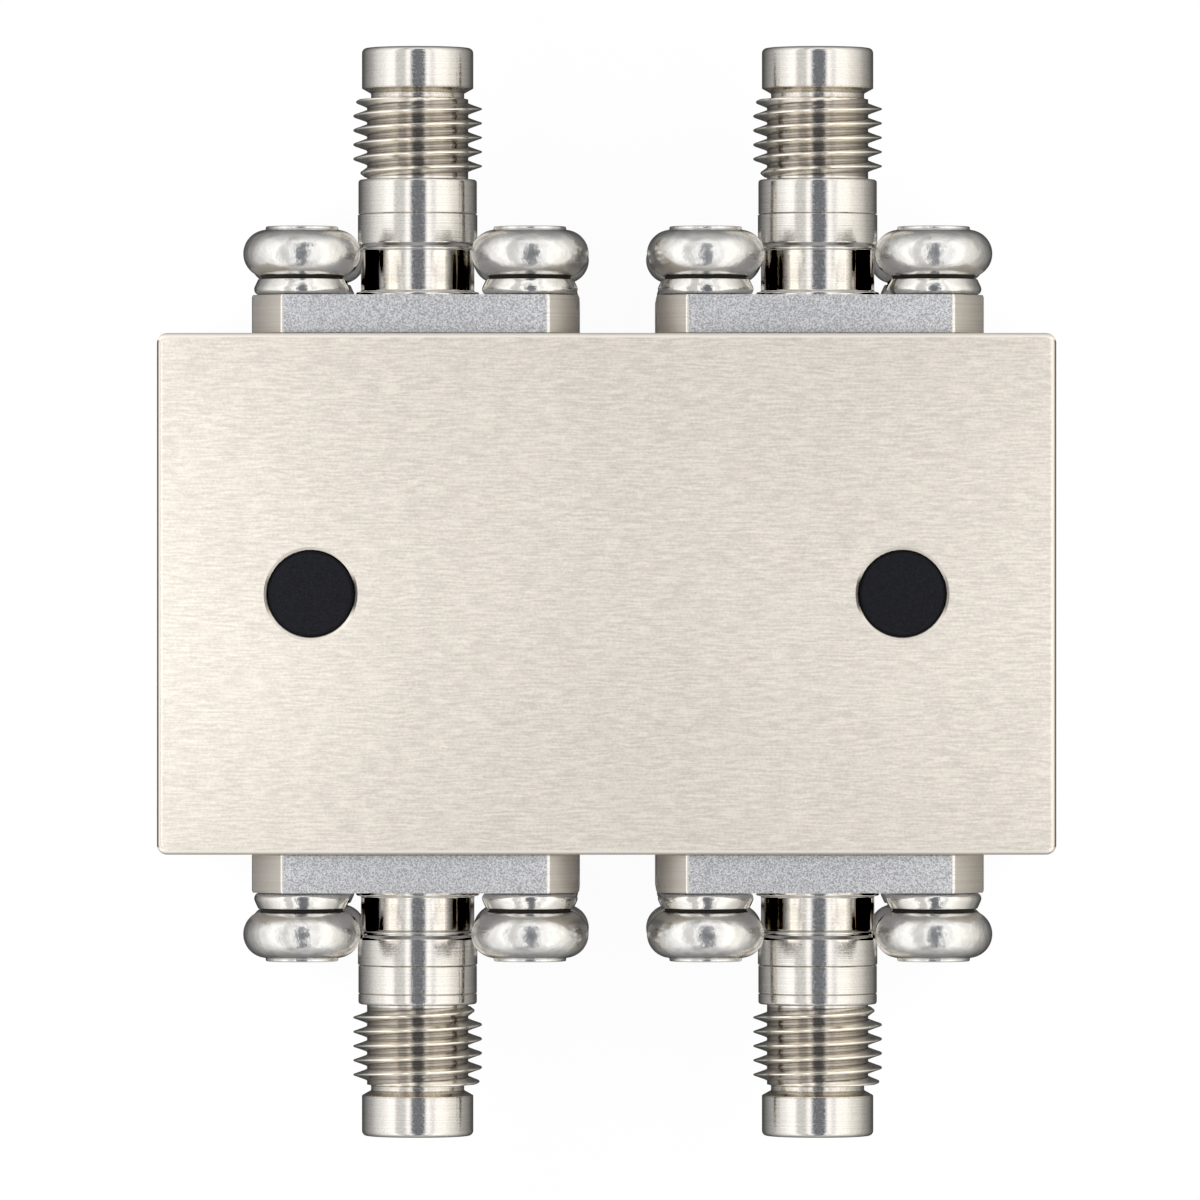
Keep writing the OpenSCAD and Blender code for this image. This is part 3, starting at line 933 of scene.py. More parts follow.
@dataclass
class Connectors:
    """The four connector shells: flange, stepped barrel, coupling thread, collar and bores."""

    palette: dict[str, Material]
    flange_half: float = 8.0 * MM
    flange_cut: float = 1.5 * MM
    flange_t: float = 1.9 * MM
    flange_edge: float = 0.05 * MM
    flange_rim: float = 0.12 * MM
    flange_facet: float = 0.085 * MM
    facet_taper: float = 0.3
    hole_place: float = 5.575 * MM
    hole_r: float = 1.6 * MM
    hole_around: int = 32
    base_r: float = 2.8 * MM
    ring_r: float = 2.95 * MM
    shoulder_r: float = 2.925 * MM
    root_r: float = 2.5 * MM
    crest_r: float = 3.175 * MM
    root_band: float = 0.05 * MM
    pitch: float = 25.4 / 36 * MM
    flank_share: float = 0.35
    crest_flat_share: float = 0.06
    flank_hollow: float = 1.1
    run_out: float = 0.42 * MM
    crests_over_end: float = 0.22 * MM
    neck_r: float = 2.3 * MM
    collar_r: float = 2.75 * MM
    collar_cone: float = 0.25 * MM
    collar_start: float = 0.1 * MM
    socket_r: float = 2.325 * MM
    socket_depth: float = 1.9 * MM
    air_r: float = 1.46 * MM
    line_r: float = 2.05 * MM
    line_depth: float = 6.0 * MM
    groove: float = 0.07 * MM
    groove_edge: float = 0.02 * MM
    ring_gap: float = 0.03 * MM
    ring_round: float = 0.25 * MM
    ring_cut: float = 0.09 * MM
    bead: float = 0.07 * MM
    bead_h: float = 0.15 * MM
    foot_r: float = 3.05 * MM
    foot_h: float = 0.3 * MM
    around: int = 96
    per_pitch: int = 24
    steps: dict[End, BarrelSteps] = field(
        default_factory=lambda: {
            End.UPPER: BarrelSteps(
                foot_grooves=(),
                base=2.48 * MM,
                ring_end=4.14 * MM,
                grooves=(),
                shoulder=5.85 * MM,
                thread_start=5.97 * MM,
                thread_end=9.81 * MM,
                neck_end=10.1 * MM,
                tip=12.35 * MM,
                phase=-0.22,
            ),
            End.LOWER: BarrelSteps(
                foot_grooves=(1.98 * MM,),
                base=2.18 * MM,
                ring_end=3.72 * MM,
                grooves=(5.12 * MM,),
                shoulder=5.65 * MM,
                thread_start=5.77 * MM,
                thread_end=9.61 * MM,
                neck_end=9.9 * MM,
                tip=12.15 * MM,
                phase=0.27,
            ),
        }
    )

    def thread(self, steps: BarrelSteps) -> Mesh:
        """Makes a coupling thread with a tree.

        Args:
            steps: The heights of this barrel's steps.

        Returns:
            The thread, an open tube round Z.
        """
        recipe = Recipe("coupling_thread")
        graph = recipe.graph
        root = recipe.number("Root Radius", self.root_r)
        crest = recipe.number("Crest Radius", self.crest_r)
        pitch = recipe.number("Pitch", self.pitch)
        start = recipe.number("Start", steps.thread_start + self.flange_t)
        end = recipe.number("End", steps.thread_end + self.flange_t)
        phase = recipe.number("Phase", steps.phase)
        spread = recipe.number("Flank Share", self.flank_share)
        flat = recipe.number("Crest Flat Share", self.crest_flat_share)
        hollow = recipe.number("Flank Hollow", self.flank_hollow)
        run_out = recipe.number("Run Out", self.run_out)
        over = recipe.number("Cut Crests Over End", self.crests_over_end)
        turns = math.ceil((steps.thread_end - steps.thread_start) / self.pitch) + 2
        rows = turns * self.per_pitch + 1
        sockets = {"Size X": 1.0, "Size Y": 1.0, "Vertices X": self.around + 1, "Vertices Y": rows}
        grid = graph.node("GeometryNodeMeshGrid", None, sockets, "Mesh")
        flat_x, flat_y, _ = graph.separate(graph.node("GeometryNodeInputPosition"))
        share = flat_x + 0.5
        angle = share * math.tau
        cycles = (flat_y + 0.5) * float(turns) - 1.0
        free_height = start + (cycles - 1.0 + phase + share) * pitch
        height = free_height.at_least(start).at_most(end)
        from_crest = cycles - graph.math("ROUND", cycles)
        crest_height = free_height - from_crest * pitch
        from_crest = abs(from_crest)
        flank = (1.0 - (from_crest - flat).at_least(0.0) / spread).at_least(0.0) ** hollow
        rise = ((crest_height - start) / run_out).clamped()
        fall = ((end + over - crest_height) / run_out).clamped()
        radius = root + (crest - root) * flank * rise * fall
        x = radius * graph.math("COSINE", angle)
        y = radius * graph.math("SINE", angle)
        place = graph.combine(x, y, height)
        moved = graph.node("GeometryNodeSetPosition", None, {"Geometry": grid, "Position": place})
        merged = graph.node("GeometryNodeMergeByDistance", None, {"Geometry": moved, "Distance": 1e-7})
        smooth = graph.node("GeometryNodeSetShadeSmooth", None, {"Geometry": merged})
        real = graph.node("GeometryNodeRealizeInstances", None, {"Geometry": smooth})
        finish = recipe.take("Finish", "NodeSocketMaterial", self.palette["tip_flank"])
        return recipe.run(recipe.finish(real, finish), bpy.data.meshes.new("thread_start"))

    def grooves(self, below: float, above: float, heights: Sequence[float]) -> list[Corner]:
        """Makes fine grooves round the barrel.

        Args:
            below: The barrel's radius on the flange's side of a groove.
            above: Its radius on the other side.
            heights: The grooves' heights above the flange.

        Returns:
            The corners of their outline.
        """
        half = self.groove / 2
        corners = []
        for height in heights:
            middle = self.flange_t + height
            corners += [
                Corner(below, middle - half, self.groove_edge),
                Corner(min(below, above) - self.groove, middle),
                Corner(above, middle + half, self.groove_edge),
            ]
        return corners

    def lower_path(self, steps: BarrelSteps) -> Outline:
        """Makes the outline from the flange's face to the thread's start.

        Args:
            steps: The heights of this barrel's steps.

        Returns:
            Points of radius and height.
        """
        lift = self.flange_t
        foot_top = lift + self.foot_h
        base = lift + steps.base
        bead_r = self.base_r + self.bead
        ring_start = base + self.ring_gap
        corners = [
            Corner(self.foot_r, lift),
            Corner(self.foot_r, foot_top, 0.12 * MM),
            Corner(self.base_r, foot_top, 0.08 * MM),
            *self.grooves(self.base_r, self.base_r, steps.foot_grooves),
            Corner(self.base_r, base - self.bead_h),
            Corner(bead_r, base - self.bead_h * 0.7, 0.04 * MM),
            Corner(bead_r, base - self.bead_h * 0.2, 0.04 * MM),
            Corner(self.base_r - self.groove, base),
            Corner(self.base_r - self.groove, ring_start),
            Corner(self.ring_r - self.ring_cut, ring_start, 0.04 * MM),
            Corner(self.ring_r, ring_start + self.ring_cut * 2, self.ring_round),
            *self.grooves(self.ring_r, self.shoulder_r, (steps.ring_end,)),
            *self.grooves(self.shoulder_r, self.shoulder_r, steps.grooves),
            Corner(self.shoulder_r, lift + steps.shoulder, 0.14 * MM),
            Corner(self.root_r, lift + steps.shoulder, 0.05 * MM),
            Corner(self.root_r, lift + steps.thread_start),
        ]
        return supported(rounded_path(corners))

    def neck_path(self, steps: BarrelSteps) -> Outline:
        """Makes the outline from the thread's end to the collar's first part.

        Args:
            steps: The heights of this barrel's steps.

        Returns:
            Points of radius and height.
        """
        thread_end = self.flange_t + steps.thread_end
        cone_start = self.flange_t + steps.neck_end
        cone_end = cone_start + self.collar_cone
        corners = [
            Corner(self.root_r, thread_end),
            Corner(self.neck_r, thread_end + 0.05 * MM, 0.05 * MM),
            Corner(self.neck_r, cone_start, 0.08 * MM),
            Corner(self.collar_r, cone_end, 0.06 * MM),
            Corner(self.collar_r, cone_end + self.collar_start),
        ]
        return supported(rounded_path(corners))

    def upper_path(self, steps: BarrelSteps) -> Outline:
        """Makes the outline of the collar and the bores.

        Args:
            steps: The heights of this barrel's steps.

        Returns:
            Points of radius and height.
        """
        lift = self.flange_t
        tip = lift + steps.tip
        start = lift + steps.neck_end + self.collar_cone + self.collar_start
        floor = tip - self.socket_depth
        corners = [
            Corner(self.collar_r, start),
            Corner(self.collar_r, tip, 0.25 * MM),
            Corner(self.socket_r, tip, 0.1 * MM),
            Corner(self.socket_r, floor, 0.05 * MM),
            Corner(self.air_r, floor, 0.04 * MM),
            Corner(self.air_r, self.line_depth),
            Corner(self.line_r, self.line_depth),
            Corner(self.line_r, 0.0),
        ]
        return supported(rounded_path(corners))

    def flange_loop(self, mesh: BMesh, inset: float, z: float) -> list[BMVert]:
        """Adds the flange's outline, moved in by an inset.

        Args:
            mesh: The mesh.
            inset: How far the outline is moved in.
            z: Its height.

        Returns:
            The outline's points.
        """
        half = self.flange_half - inset
        cut = self.flange_cut - (2 - math.sqrt(2)) * inset
        soft = self.flange_facet * (1.0 - self.facet_taper * inset / self.flange_edge)
        near = Vector((half, half - cut))
        far = Vector((half - cut, half))
        slope = (far - near).normalized() * soft
        corner = (near - Vector((0, soft)), near + slope, far - slope, far - Vector((soft, 0)))
        outline = [Matrix.Rotation(i * math.pi / 2, 2) @ spot for i in range(4) for spot in corner]
        return [mesh.verts.new((*spot, z)) for spot in outline]

    def flange_slot(self, face: BMFace) -> Slot:
        """Chooses the slot of a face at the flange's side: blasted flat, milled corner, or bright edge.

        Args:
            face: The face.

        Returns:
            Its material slot.
        """
        face.normal_update()
        turn = math.degrees(math.atan2(face.normal.y, face.normal.x)) % 90
        from_corner = abs(turn - 45)
        if from_corner < 15:
            return Slot.CHAMFER
        return Slot.BARREL if from_corner < 35 or face.normal.z > 0.5 else Slot.FLANGE

    def add_flange(self, mesh: BMesh) -> None:
        """Adds the flange round the barrel's foot and the line's bore.

        Args:
            mesh: The mesh, with the barrel already in it.
        """
        edge = self.flange_edge
        levels = [(edge, 0.0), (0.0, edge), (0.0, self.flange_t - self.flange_rim), (edge, self.flange_t)]
        loops = [self.flange_loop(mesh, inset, z) for inset, z in levels]
        for low, high in zip(loops, loops[1:]):
            first_face = len(mesh.faces)
            bridge(mesh, low, high)
            mesh.faces.ensure_lookup_table()
            for face in mesh.faces[first_face:]:
                face.smooth = False
                face.material_index = self.flange_slot(face)
        holes = []
        for x, y in ((-1, -1), (-1, 1), (1, -1), (1, 1)):
            shift = Matrix.Translation((x * self.hole_place, y * self.hole_place, 0))
            low = ring(mesh, self.hole_r, 0.0, self.hole_around)
            high = ring(mesh, self.hole_r, self.flange_t, self.hole_around)
            bmesh.ops.transform(mesh, matrix=shift, verts=low + high)
            bridge(mesh, low, high, Slot.FLANGE)
            holes.append((low, high))
        foot = ring(mesh, self.foot_r, self.flange_t, self.around)
        bore = ring(mesh, self.line_r, 0.0, self.around)
        fill_between(mesh, [loops[0], bore] + [low for low, _ in holes], Slot.FLANGE)
        fill_between(mesh, [loops[-1], foot] + [high for _, high in holes], Slot.FLANGE)

    def thread_slot(self, face: BMFace) -> Slot:
        """Chooses the slot of a thread's face: the root, painted darker as shade, or the flank on one side
        or the other, painted lighter on the flange's side.

        Args:
            face: The face.

        Returns:
            Its material slot.
        """
        face.normal_update()
        middle = face.calc_center_median()
        if math.hypot(middle.x, middle.y) < self.root_r + self.root_band:
            return Slot.ROOT
        outward = face.normal.x * middle.x + face.normal.y * middle.y
        return Slot.TIP_FLANK if face.normal.z * outward > 0 else Slot.FLANGE_FLANK

    def paint_bead_highlight(self, mesh: BMesh, steps: BarrelSteps) -> None:
        """Gives the bead under the ring its near-white finish, a painted highlight.

        Args:
            mesh: The mesh, which ends with the barrel's lower outline.
            steps: The heights of this barrel's steps.
        """
        top = self.flange_t + steps.base
        for face in mesh.faces:
            middle = face.calc_center_median()
            if top - self.bead_h < middle.z < top and math.hypot(middle.x, middle.y) > self.base_r:
                face.material_index = Slot.LIP

    def build(self) -> list[Object]:
        """Builds the four shells, each in place of its node.

        Returns:
            The finished objects.
        """
        threads = {end: self.thread(steps) for end, steps in self.steps.items()}
        materials = [self.palette[slot.name.lower()] for slot in Slot]
        shells = []
        for port in PORTS:
            steps = self.steps[port.end]
            mesh = bmesh.new()
            mesh.from_mesh(threads[port.end])
            for face in mesh.faces:
                face.material_index = self.thread_slot(face)
            revolve(mesh, self.lower_path(steps), self.around)
            self.paint_bead_highlight(mesh, steps)
            revolve(mesh, self.neck_path(steps), self.around, Slot.NECK)
            revolve(mesh, self.upper_path(steps), self.around)
            self.add_flange(mesh)
            mesh.transform(port.placing())
            shell = finished_object(f"{port.name}_connector", mesh, materials)
            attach(shell, ROOT)
            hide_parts(f"{port.name}_shell")
            shells.append(shell)
        return shells


# Screws and washers


@dataclass
class Fasteners:
    """The sixteen flange screws and the spring washers under them."""

    palette: dict[str, Material]
    flange_t: float = Connectors.flange_t
    place: float = Connectors.hole_place
    washer_t: float = 0.8 * MM
    washer_foot_r: float = 2.51 * MM
    washer_top_r: float = 2.14 * MM
    washer_hole_r: float = 1.56 * MM
    washer_round: float = 0.3 * MM
    washer_edge: float = 0.08 * MM
    washer_gap: float = math.radians(9)
    shank_r: float = 1.45 * MM
    shank_l: float = 6.0 * MM
    shank_point: float = 0.3 * MM
    shank_tip_share: float = 0.8
    seat_r: float = 2.0 * MM
    seat_edge: float = 0.03 * MM
    # Height under which the screw's faces are painted near-black shade.
    seat_h: float = 0.15 * MM
    head_r: float = 2.875 * MM
    bulge_r: float = 1.17 * MM
    bulge_top: float = 2.41 * MM
    bulge_steps: int = 28
    rim_gap: float = 0.1 * MM
    rim_r: float = 1.775 * MM
    rim_wall: float = 0.16 * MM
    rim_top: float = 2.57 * MM
    dish: float = 0.33 * MM
    key_r: float = 1.02 * MM
    key_wave: float = 0.14 * MM
    key_lobes: int = 6
    key_flatness: float = 0.18
    key_edge: float = 0.04 * MM
    key_edge_in: float = 0.03 * MM
    key_depth: float = 1.1 * MM
    key_taper: float = 0.05 * MM
    key_point: float = 0.25 * MM
    around: int = 72
    round_steps: int = 7
    screw_turn: float = math.radians(37)
    port_turn: float = math.radians(101)

    def points(self, name: str) -> Mesh:
        """Makes one point on each screw's place, with the turn that the screw is fitted with.

        Args:
            name: The mesh's name.

        Returns:
            The mesh of the points.
        """
        spots = []
        turns = []
        for number, port in enumerate(PORTS):
            placing = port.placing()
            for i, (x, y) in enumerate(((1, 1), (-1, 1), (-1, -1), (1, -1))):
                spots.append(placing @ Vector((x * self.place, y * self.place, self.flange_t)))
                spin = Matrix.Rotation(self.screw_turn * i + self.port_turn * number, 4, "Z")
                turns.append((placing @ spin).to_euler())
        data = bpy.data.meshes.new(name)
        data.from_pydata([tuple(spot) for spot in spots], [], [])
        attribute = data.attributes.new("turn", "FLOAT_VECTOR", "POINT")
        for item, turn in zip(attribute.data, turns):
            item.vector = turn
        return data

    def head_path(self) -> Outline:
        """Makes a screw's outline from its point up to the edge of its dish.

        Returns:
            Points of radius and height.
        """
        middle_r = self.head_r - self.bulge_r
        middle_z = self.bulge_top - self.bulge_r
        start = math.acos((self.seat_r - middle_r) / self.bulge_r)
        end = math.acos((self.rim_r + self.rim_gap - middle_r) / self.bulge_r)
        path = [(0.0, -self.shank_l), (self.shank_r * self.shank_tip_share, -self.shank_l)]
        path += [(self.shank_r, -self.shank_l + self.shank_point), (self.shank_r, 0.0)]
        path += [(self.seat_r - self.seat_edge, 0.0), (self.seat_r, self.seat_edge)]
        for step in range(self.bulge_steps + 1):
            angle = -start + (start + end) * step / self.bulge_steps
            r = middle_r + self.bulge_r * math.cos(angle)
            path.append((r, middle_z + self.bulge_r * math.sin(angle)))
        rim = [
            Corner(*path[-1]),
            Corner(self.rim_r, self.bulge_top, 0.06 * MM),
            Corner(self.rim_r, self.rim_top, 0.07 * MM),
            Corner(self.rim_r - self.rim_wall, self.rim_top, 0.07 * MM),
            Corner(self.rim_r - self.rim_wall, self.rim_top - self.dish, 0.12 * MM),
            Corner(self.key_r + self.key_wave + 0.08 * MM, self.rim_top - self.dish),
        ]
        return path + rounded_path(rim)[1:]

    def key_loop(self, mesh: BMesh, z: float, shrink: float) -> list[BMVert]:
        """Adds the six-lobed outline of the screw's socket.

        Args:
            mesh: The mesh.
            z: The loop's height.
            shrink: How far it is moved in.

        Returns:
            The loop's points.
        """
        loop = []
        for i in range(self.around):
            angle = math.tau * i / self.around
            lobe = self.key_lobes * angle
            wave = math.cos(lobe) + self.key_flatness * math.cos(2 * lobe)
            radius = self.key_r + self.key_wave * wave - shrink
            loop.append(mesh.verts.new((radius * math.cos(angle), radius * math.sin(angle), z)))
        return loop

    def screw(self) -> Object:
        """Makes one screw.

        Returns:
            The screw, on its washer and round the Z axis.
        """
        mesh = bmesh.new()
        path = self.head_path()
        revolve(mesh, path, self.around)
        mesh.verts.ensure_lookup_table()
        before = mesh.verts[-self.around :]
        floor = path[-1][1]
        levels = [(floor, 0.0), (floor - self.key_edge, self.key_edge_in)]
        levels.append((floor - self.key_depth, self.key_taper))
        for z, shrink in levels:
            loop = self.key_loop(mesh, z, shrink)
            bridge(mesh, before, loop)
            before = loop
        bridge(mesh, before, ring(mesh, 0.0, floor - self.key_depth - self.key_point, 1))
        for face in mesh.faces:
            # Painted shade: the faces under this height, the seat and the shank, take the near-black
            # finish.
            face.material_index = int(face.calc_center_median().z < self.seat_h)
        bmesh.ops.translate(mesh, vec=(0.0, 0.0, self.washer_t), verts=mesh.verts)
        return finished_object("one_flange_screw", mesh, [self.palette["screw"], self.palette["seat"]])

    def screws(self) -> Object:
        """Makes all the flange screws, placed by a tree.

        Returns:
            The screws as one object.
        """
        template = self.screw()
        recipe = Recipe("flange_screws")
        graph = recipe.graph
        points = recipe.take("Places", "NodeSocketGeometry")
        pattern = recipe.take("Screw", "NodeSocketObject", template)
        finish = recipe.take("Finish", "NodeSocketMaterial", self.palette["screw"])
        seat = recipe.take("Seat Finish", "NodeSocketMaterial", self.palette["seat"])
        one = graph.node("GeometryNodeObjectInfo", None, {"Object": pattern}, "Geometry")
        made = recipe.run_on_places(points, one, (finish, seat), self.points("screw_places"))
        bpy.data.objects.remove(template)
        return made

    def washers(self) -> Object:
        """Makes all the spring washers, swept and placed by a tree.

        Returns:
            The washers as one object.
        """
        recipe = Recipe("spring_washers")
        graph = recipe.graph
        points = recipe.take("Places", "NodeSocketGeometry")
        hole = recipe.number("Hole Radius", self.washer_hole_r)
        foot = recipe.number("Foot Radius", self.washer_foot_r)
        top = recipe.number("Top Radius", self.washer_top_r)
        height = recipe.number("Height", self.washer_t)
        edge = recipe.number("Foot Edge Round", self.washer_round)
        small_edge = recipe.number("Other Edges Round", self.washer_edge)
        gap = recipe.number("Gap Angle", self.washer_gap)
        finish = recipe.take("Finish", "NodeSocketMaterial", self.palette["washer"])
        sockets = {"Resolution": self.around + 1, "Radius": hole, "Sweep Angle": math.tau - gap}
        arc = graph.node("GeometryNodeCurveArc", {"mode": "RADIUS"}, sockets)
        corners = ((foot - hole, 0.0), (top - hole, height * -1.0), (0.0, height * -1.0), (0.0, 0.0))
        sockets = {f"Point {i + 1}": graph.combine(x, y, 0.0) for i, (x, y) in enumerate(corners)}
        section = graph.node("GeometryNodeCurvePrimitiveQuadrilateral", {"mode": "POINTS"}, sockets)
        is_foot = graph.math("LESS_THAN", graph.node("GeometryNodeInputIndex"), 0.5)
        rounds = small_edge + (edge - small_edge) * is_foot
        sockets = {"Curve": section, "Count": self.round_steps, "Radius": rounds}
        section = graph.node("GeometryNodeFilletCurve", {"mode": "POLY"}, sockets)
        sockets = {"Curve": arc, "Profile Curve": section, "Fill Caps": True}
        coil = graph.node("GeometryNodeCurveToMesh", None, sockets)
        return recipe.run_on_places(points, coil, (finish,), self.points("washer_places"))

    def build(self) -> list[Object]:
        """Builds the screws and the washers, each in place of the four ports' nodes.

        Returns:
            The finished objects.
        """
        made = []
        for piece, node, slot in (
            (self.screws(), "screws", "screw_steel"),
            (self.washers(), "washers", "washer_steel"),
        ):
            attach(piece, ROOT)
            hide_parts(*(f"{port.name}_{node}" for port in PORTS))
            made.append(piece)
        return made


# Pieces that keep their solids


@dataclass
class KeptPieces:
    """The nodes that show their own solids, each with its finish."""

    palette: dict[str, Material]
    nodes: dict[str, Object]

    def finish_of(self, node: str) -> str | None:
        """Finds a node's finish.

        Args:
            node: The node's name.

        Returns:
            The finish's name, or nothing for a node that is replaced.
        """
        whole = {
            "housing": "block",
            "rear_cover": "cover",
            "cover_screws": "small_screw",
            "left_plug": "plug",
            "right_plug": "plug",
            "front_strip": "copper",
            "rear_strip": "copper",
            "front_sheet": "laminate",
            "core_sheet": "laminate",
            "rear_sheet": "laminate",
        }
        endings = {"contact": "gold", "bead": "bead", "sleeve": "line"}
        return whole.get(node) or endings.get(node.rsplit("_", 1)[-1])

    def build(self) -> int:
        """Gives each kept node its finish.

        Returns:
            How many nodes are kept.
        """
        count = 0
        for name, piece in self.nodes.items():
            finish = self.finish_of(name)
            if finish is None:
                continue
            material = self.palette[finish]
            if not piece.material_slots:
                piece.data.materials.append(material)
            for slot in piece.material_slots:
                slot.material = material
            count += 1
        return count


# Studio


def area_light(name: str, width: float, length: float, watts: float) -> Object:
    """Adds a rectangular lamp that the camera doesn't see.

    Args:
        name: The lamp's name.
        width: Its width.
        length: Its length.
        watts: Its power.

    Returns:
        The lamp, at the origin.
    """
    data = bpy.data.lights.new(name, "AREA")
    data.shape = "RECTANGLE"
    data.size = width
    data.size_y = length
    data.energy = watts
    made = add_object(name, data)
    made.visible_camera = False
    return made


def turn_to(lamp: Object, direction: Sequence[float]) -> None:
    """Makes a lamp shine in a direction."""
    lamp.rotation_euler = Vector(direction).to_track_quat("-Z", "Y").to_euler()


@dataclass(frozen=True)
class SoftBox:
    """A rectangular lamp beside the block, which lights it but doesn't show in reflections."""

    name: str
    x: float
    z: float
    width: float
    length: float
    watts: float


@dataclass(frozen=True)
class Stripe:
    """A dark stripe in the sky: its edges in degrees, their softness, and how much light it takes."""

    low: float
    high: float
    soft: float
    share: float = 1.0

    def over(self, angle: Signal) -> Signal:
        """Returns 1 where an angle is inside the stripe, and 0 outside."""
        return angle.window(self.low, self.high, self.soft)


@dataclass(frozen=True)
class FootLight:
    """A small light beside each barrel's foot, whose side of the barrel goes by the port's side.

    Its tones belong to its heights, which are in millimetres above the port's axis, towards the
    camera. It takes light away where the tone is below 1 and adds light where it is above 1. The
    light that it adds is less by the fadings, in red, green and blue.
    """

    name: str
    sides: dict[Side, Side]
    heights: tuple[float, ...]
    tones: tuple[float, ...]
    x: float = 3.1 * MM
    length: float = 2.4 * MM
    reach: float = 2.5 * MM
    fadings: Colour = (0.0, 0.04, 0.1)

    def stops(self) -> list[tuple[float, Colour]]:
        """Works out the light's colours.

        Returns:
            Places, from 0 at its lower edge to 1 at its upper edge, with their colours.
        """
        low, high = self.heights[0], self.heights[-1]
        stops = []
        for height, tone in zip(self.heights, self.tones):
            added = max(0.0, tone - 1.0)
            colour = tuple(tone - added * fading for fading in self.fadings)
            stops.append(((height - low) / (high - low), colour))
        return stops


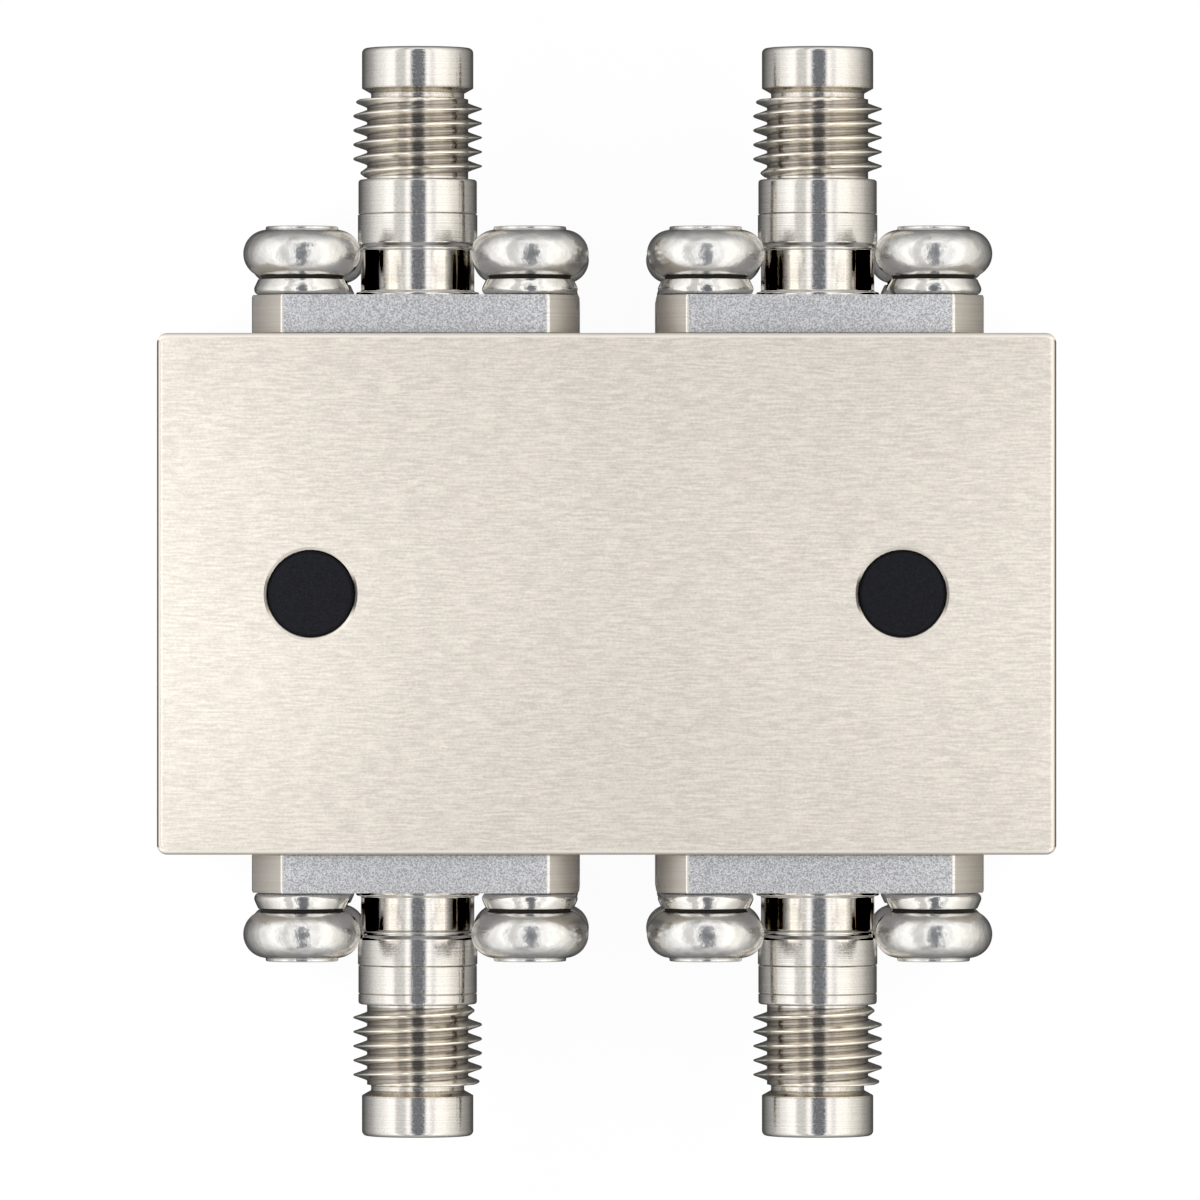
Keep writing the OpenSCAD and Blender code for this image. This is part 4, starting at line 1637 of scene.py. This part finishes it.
@dataclass
class Studio:
    """The floor, the soft light all round, the small lights, two lamps and the camera."""

    floor_reach: float = 3.0
    floor_shade: float = 0.03
    floor_glow: float = 0.96
    sky_levels: tuple[tuple[float, float], ...] = (
        (0, 1.42),
        (60, 1.42),
        (73, 1.14),
        (83, 1.0),
        (95, 0.8),
        (108, 0.5),
        (124, 0.32),
        (145, 0.125),
        (165, 0.06),
        (180, 0.04),
    )
    middle_stripe: Stripe = Stripe(-12.7, 16.7, 1.7, 0.85)
    middle_ends: Stripe = Stripe(-66.0, 47.0, 6.0)
    middle_tint: Colour = (-0.07, 0.0, 0.14)
    side_stripes: tuple[Stripe, ...] = (Stripe(-46.0, -23.2, 1.4, 0.44), Stripe(27.0, 37.0, 3.0, 0.27))
    right_tint: Colour = (0.0, -0.018, -0.06)
    ragged: float = 75.0
    ragged_scale: float = 7.0
    foot_low: float = 1.95 * MM
    foot_lights: tuple[FootLight, ...] = (
        FootLight(
            "outer_foot_light",
            {Side.LEFT: Side.LEFT, Side.RIGHT: Side.RIGHT},
            heights=(-0.1, 0.29, 0.79, 1.16, 1.49, 1.8, 2.11, 2.44, 2.8, 3.19, 3.6),
            tones=(0.78, 0.75, 0.63, 0.44, 0.25, 0.08, 0.02, 0.42, 1.22, 1.83, 2.12),
        ),
        FootLight(
            "inner_foot_light",
            {Side.LEFT: Side.RIGHT, Side.RIGHT: Side.LEFT},
            heights=(0.1, 0.29, 0.79, 1.16, 1.49, 1.8, 2.11, 2.44, 2.8, 3.19, 3.6),
            tones=(0.93, 0.92, 0.82, 0.64, 0.68, 0.66, 0.66, 0.86, 1.1, 1.49, 2.05),
        ),
        FootLight(
            "left_high_light",
            {Side.LEFT: Side.LEFT, Side.RIGHT: Side.LEFT},
            heights=(3.25, 3.75, 4.29, 4.65, 4.97, 5.89, 7.05),
            tones=(2.12, 2.15, 2.0, 1.38, 1.3, 1.13, 1.0),
            x=2.62 * MM,
            length=2.5 * MM,
            reach=3.8 * MM,
        ),
        FootLight(
            "right_high_light",
            {Side.LEFT: Side.RIGHT, Side.RIGHT: Side.RIGHT},
            heights=(3.25, 3.75, 4.29, 4.97, 5.3, 5.89, 6.58),
            tones=(2.05, 2.14, 2.0, 1.62, 1.5, 1.52, 1.1),
            x=2.62 * MM,
            length=2.5 * MM,
            reach=3.8 * MM,
        ),
    )
    lamps: tuple[SoftBox, ...] = (
        SoftBox("left_lamp", -52 * MM, 32 * MM, 24 * MM, 90 * MM, 0.07),
        SoftBox("right_lamp", 52 * MM, 32 * MM, 24 * MM, 90 * MM, 0.043),
    )
    camera_place: tuple[float, float, float] = (-0.32 * MM, -0.30 * MM, 608.75 * MM)
    lens: float = 364.5
    sensor: float = 36.0
    clip: tuple[float, float] = (0.01, 20.0)

    def floor(self) -> None:
        """Lays a large white floor under the block, which reflections don't show."""
        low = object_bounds()[0][2]
        reach = self.floor_reach
        corners = [(x * reach, y * reach, low) for x, y in ((-1, -1), (1, -1), (1, 1), (-1, 1))]
        data = bpy.data.meshes.new("floor")
        data.from_pydata(corners, [], [(0, 1, 2, 3)])
        made = add_object("floor", data)
        material = bpy.data.materials.new("white_floor")
        graph = Graph.of(material)
        pale = graph.node("ShaderNodeBsdfDiffuse", None, {"Color": (self.floor_shade,) * 3})
        sockets = {"Color": (1.0, 1.0, 1.0), "Strength": self.floor_glow}
        glow = graph.node("ShaderNodeEmission", None, sockets)
        both = graph.node("ShaderNodeAddShader", None, {0: pale, 1: glow})
        graph.node("ShaderNodeOutputMaterial", None, {"Surface": both})
        data.materials.append(material)
        made.visible_glossy = False
        made.visible_shadow = False
        made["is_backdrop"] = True

    def sky(self) -> None:
        """Surrounds the object with soft light that fades below it, and the dark shapes over it."""
        world = bpy.data.worlds.new("studio")
        bpy.context.scene.world = world
        graph = Graph.of(world)
        direction = graph.node("ShaderNodeTexCoord", None, None, "Generated")
        x, y, z = graph.separate(direction)
        sideways = graph.math("ARCTAN2", x, z) * math.degrees(1.0)
        lengthways = graph.math("ARCTAN2", y, z) * math.degrees(1.0)
        above = z.ramp(-0.02, 0.02)
        stops = [(angle / 180.0, (level, level, level)) for angle, level in self.sky_levels]
        from_above = graph.math("ARCCOSINE", z) / math.pi
        all_round = graph.node("ShaderNodeValToRGB", {"stops": stops}, {"Fac": from_above}, "Color")
        noise = graph.noise(direction, self.ragged_scale, 3.0, 0.6)
        wander = (noise - 0.5) * self.ragged * abs(lengthways).ramp(3.0, 28.0)
        dark = self.middle_stripe.over(sideways + wander) * self.middle_ends.over(lengthways) * above
        level = all_round * (1.0 - x.ramp(0.5, 1.0) * 0.05) * (1.0 - abs(y).ramp(0.72, 0.95) * 0.35)
        level = level * (1.0 - dark * self.middle_stripe.share)
        for stripe in self.side_stripes:
            level = level * (1.0 - stripe.over(sideways) * above * stripe.share)
        right = x.ramp(0.5, 0.9)
        tints = zip(self.middle_tint, self.right_tint)
        parts = [level * (1.0 + dark * in_dark + right * at_right) for in_dark, at_right in tints]
        sockets = {"Color": graph.combine(*parts), "Strength": 1.0}
        shader = graph.node("ShaderNodeBackground", None, sockets)
        graph.node("ShaderNodeOutputWorld", None, {"Surface": shader})

    def shade_foot_light(self, data: bpy.types.AreaLight, light: FootLight, axis_z: float) -> None:
        """Gives a small light its tones by height, ends its reach, and keeps it from the flange.

        Args:
            data: The light's data.
            light: What it is to be like.
            axis_z: The height of its port's axis.
        """
        graph = Graph.of(data)
        low, high = light.heights[0] * MM, light.heights[-1] * MM
        z = graph.separate(graph.node("ShaderNodeNewGeometry", None, None, "Position"))[2]
        share = (z - (axis_z + low)) / (high - low)
        tone = graph.node("ShaderNodeValToRGB", {"stops": light.stops()}, {"Fac": share}, "Color")
        change = graph.vector_math("SUBTRACT", tone, (1.0, 1.0, 1.0))
        distance = graph.node("ShaderNodeLightPath", None, None, "Ray Length")
        near = graph.math("LESS_THAN", distance, light.reach)
        ray_y = graph.separate(graph.node("ShaderNodeNewGeometry", None, None, "Incoming"))[1]
        strength = near * (1.0 - abs(ray_y).ramp(0.22, 0.42))
        glow = graph.node("ShaderNodeEmission", None, {"Color": change, "Strength": strength})
        graph.node("ShaderNodeOutputLight", None, {"Surface": glow})

    def foot_light(self, light: FootLight, port: Port) -> None:
        """Hangs one small light beside a barrel's foot, where the black bands and the white ones are.

        Args:
            light: What it is to be like.
            port: The barrel's port.
        """
        low, high = light.heights[0] * MM, light.heights[-1] * MM
        watts = math.pi * light.length * (high - low)
        made = area_light(light.name, light.length, high - low, watts)
        placing = port.placing()
        self.shade_foot_light(made.data, light, placing.translation.z)
        side = light.sides[port.side].value
        across = -port.end.value * (low + high) / 2
        made.location = placing @ Vector((side * light.x, across, self.foot_low + light.length / 2))
        turn_to(made, (-side, 0.0, 0.0))
        made.visible_diffuse = False

    def lamp(self, box: SoftBox) -> None:
        """Hangs a soft box beside the block and turns it to the block's middle.

        Args:
            box: What it is to be like.
        """
        made = area_light(box.name, box.width, box.length, box.watts)
        made.location = (box.x, 0.0, box.z)
        turn_to(made, (-box.x, 0.0, -box.z))
        made.visible_glossy = False

    def camera(self) -> None:
        """Looks straight down on the front face, from above its middle."""
        data = bpy.data.cameras.new("camera")
        data.sensor_width = self.sensor
        data.lens = self.lens
        data.clip_start, data.clip_end = self.clip
        made = add_object("camera", data)
        made.location = self.camera_place
        bpy.context.scene.camera = made

    def build(self) -> None:
        """Sets up the whole studio."""
        self.floor()
        for light in self.foot_lights:
            for port in PORTS:
                self.foot_light(light, port)
        self.sky()
        for box in self.lamps:
            self.lamp(box)
        self.camera()
        bpy.context.scene.view_settings.view_transform = "Standard"


def main() -> None:
    """Builds every piece in order and logs the count of kept pieces and each built piece's faces."""
    logging.basicConfig(level=logging.INFO, format="%(name)s: %(message)s")
    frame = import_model()
    finishes = {name: finish.material() for name, finish in vars(Palette()).items()}
    LOG.info("kept pieces: %d", KeptPieces(finishes, frame["nodes"]).build())
    for builder in (Connectors(finishes), Fasteners(finishes)):
        for piece in builder.build():
            LOG.info("%s: %d faces", piece.name, len(piece.data.polygons))
    Studio().build()


if __name__ == "__main__":
    main()
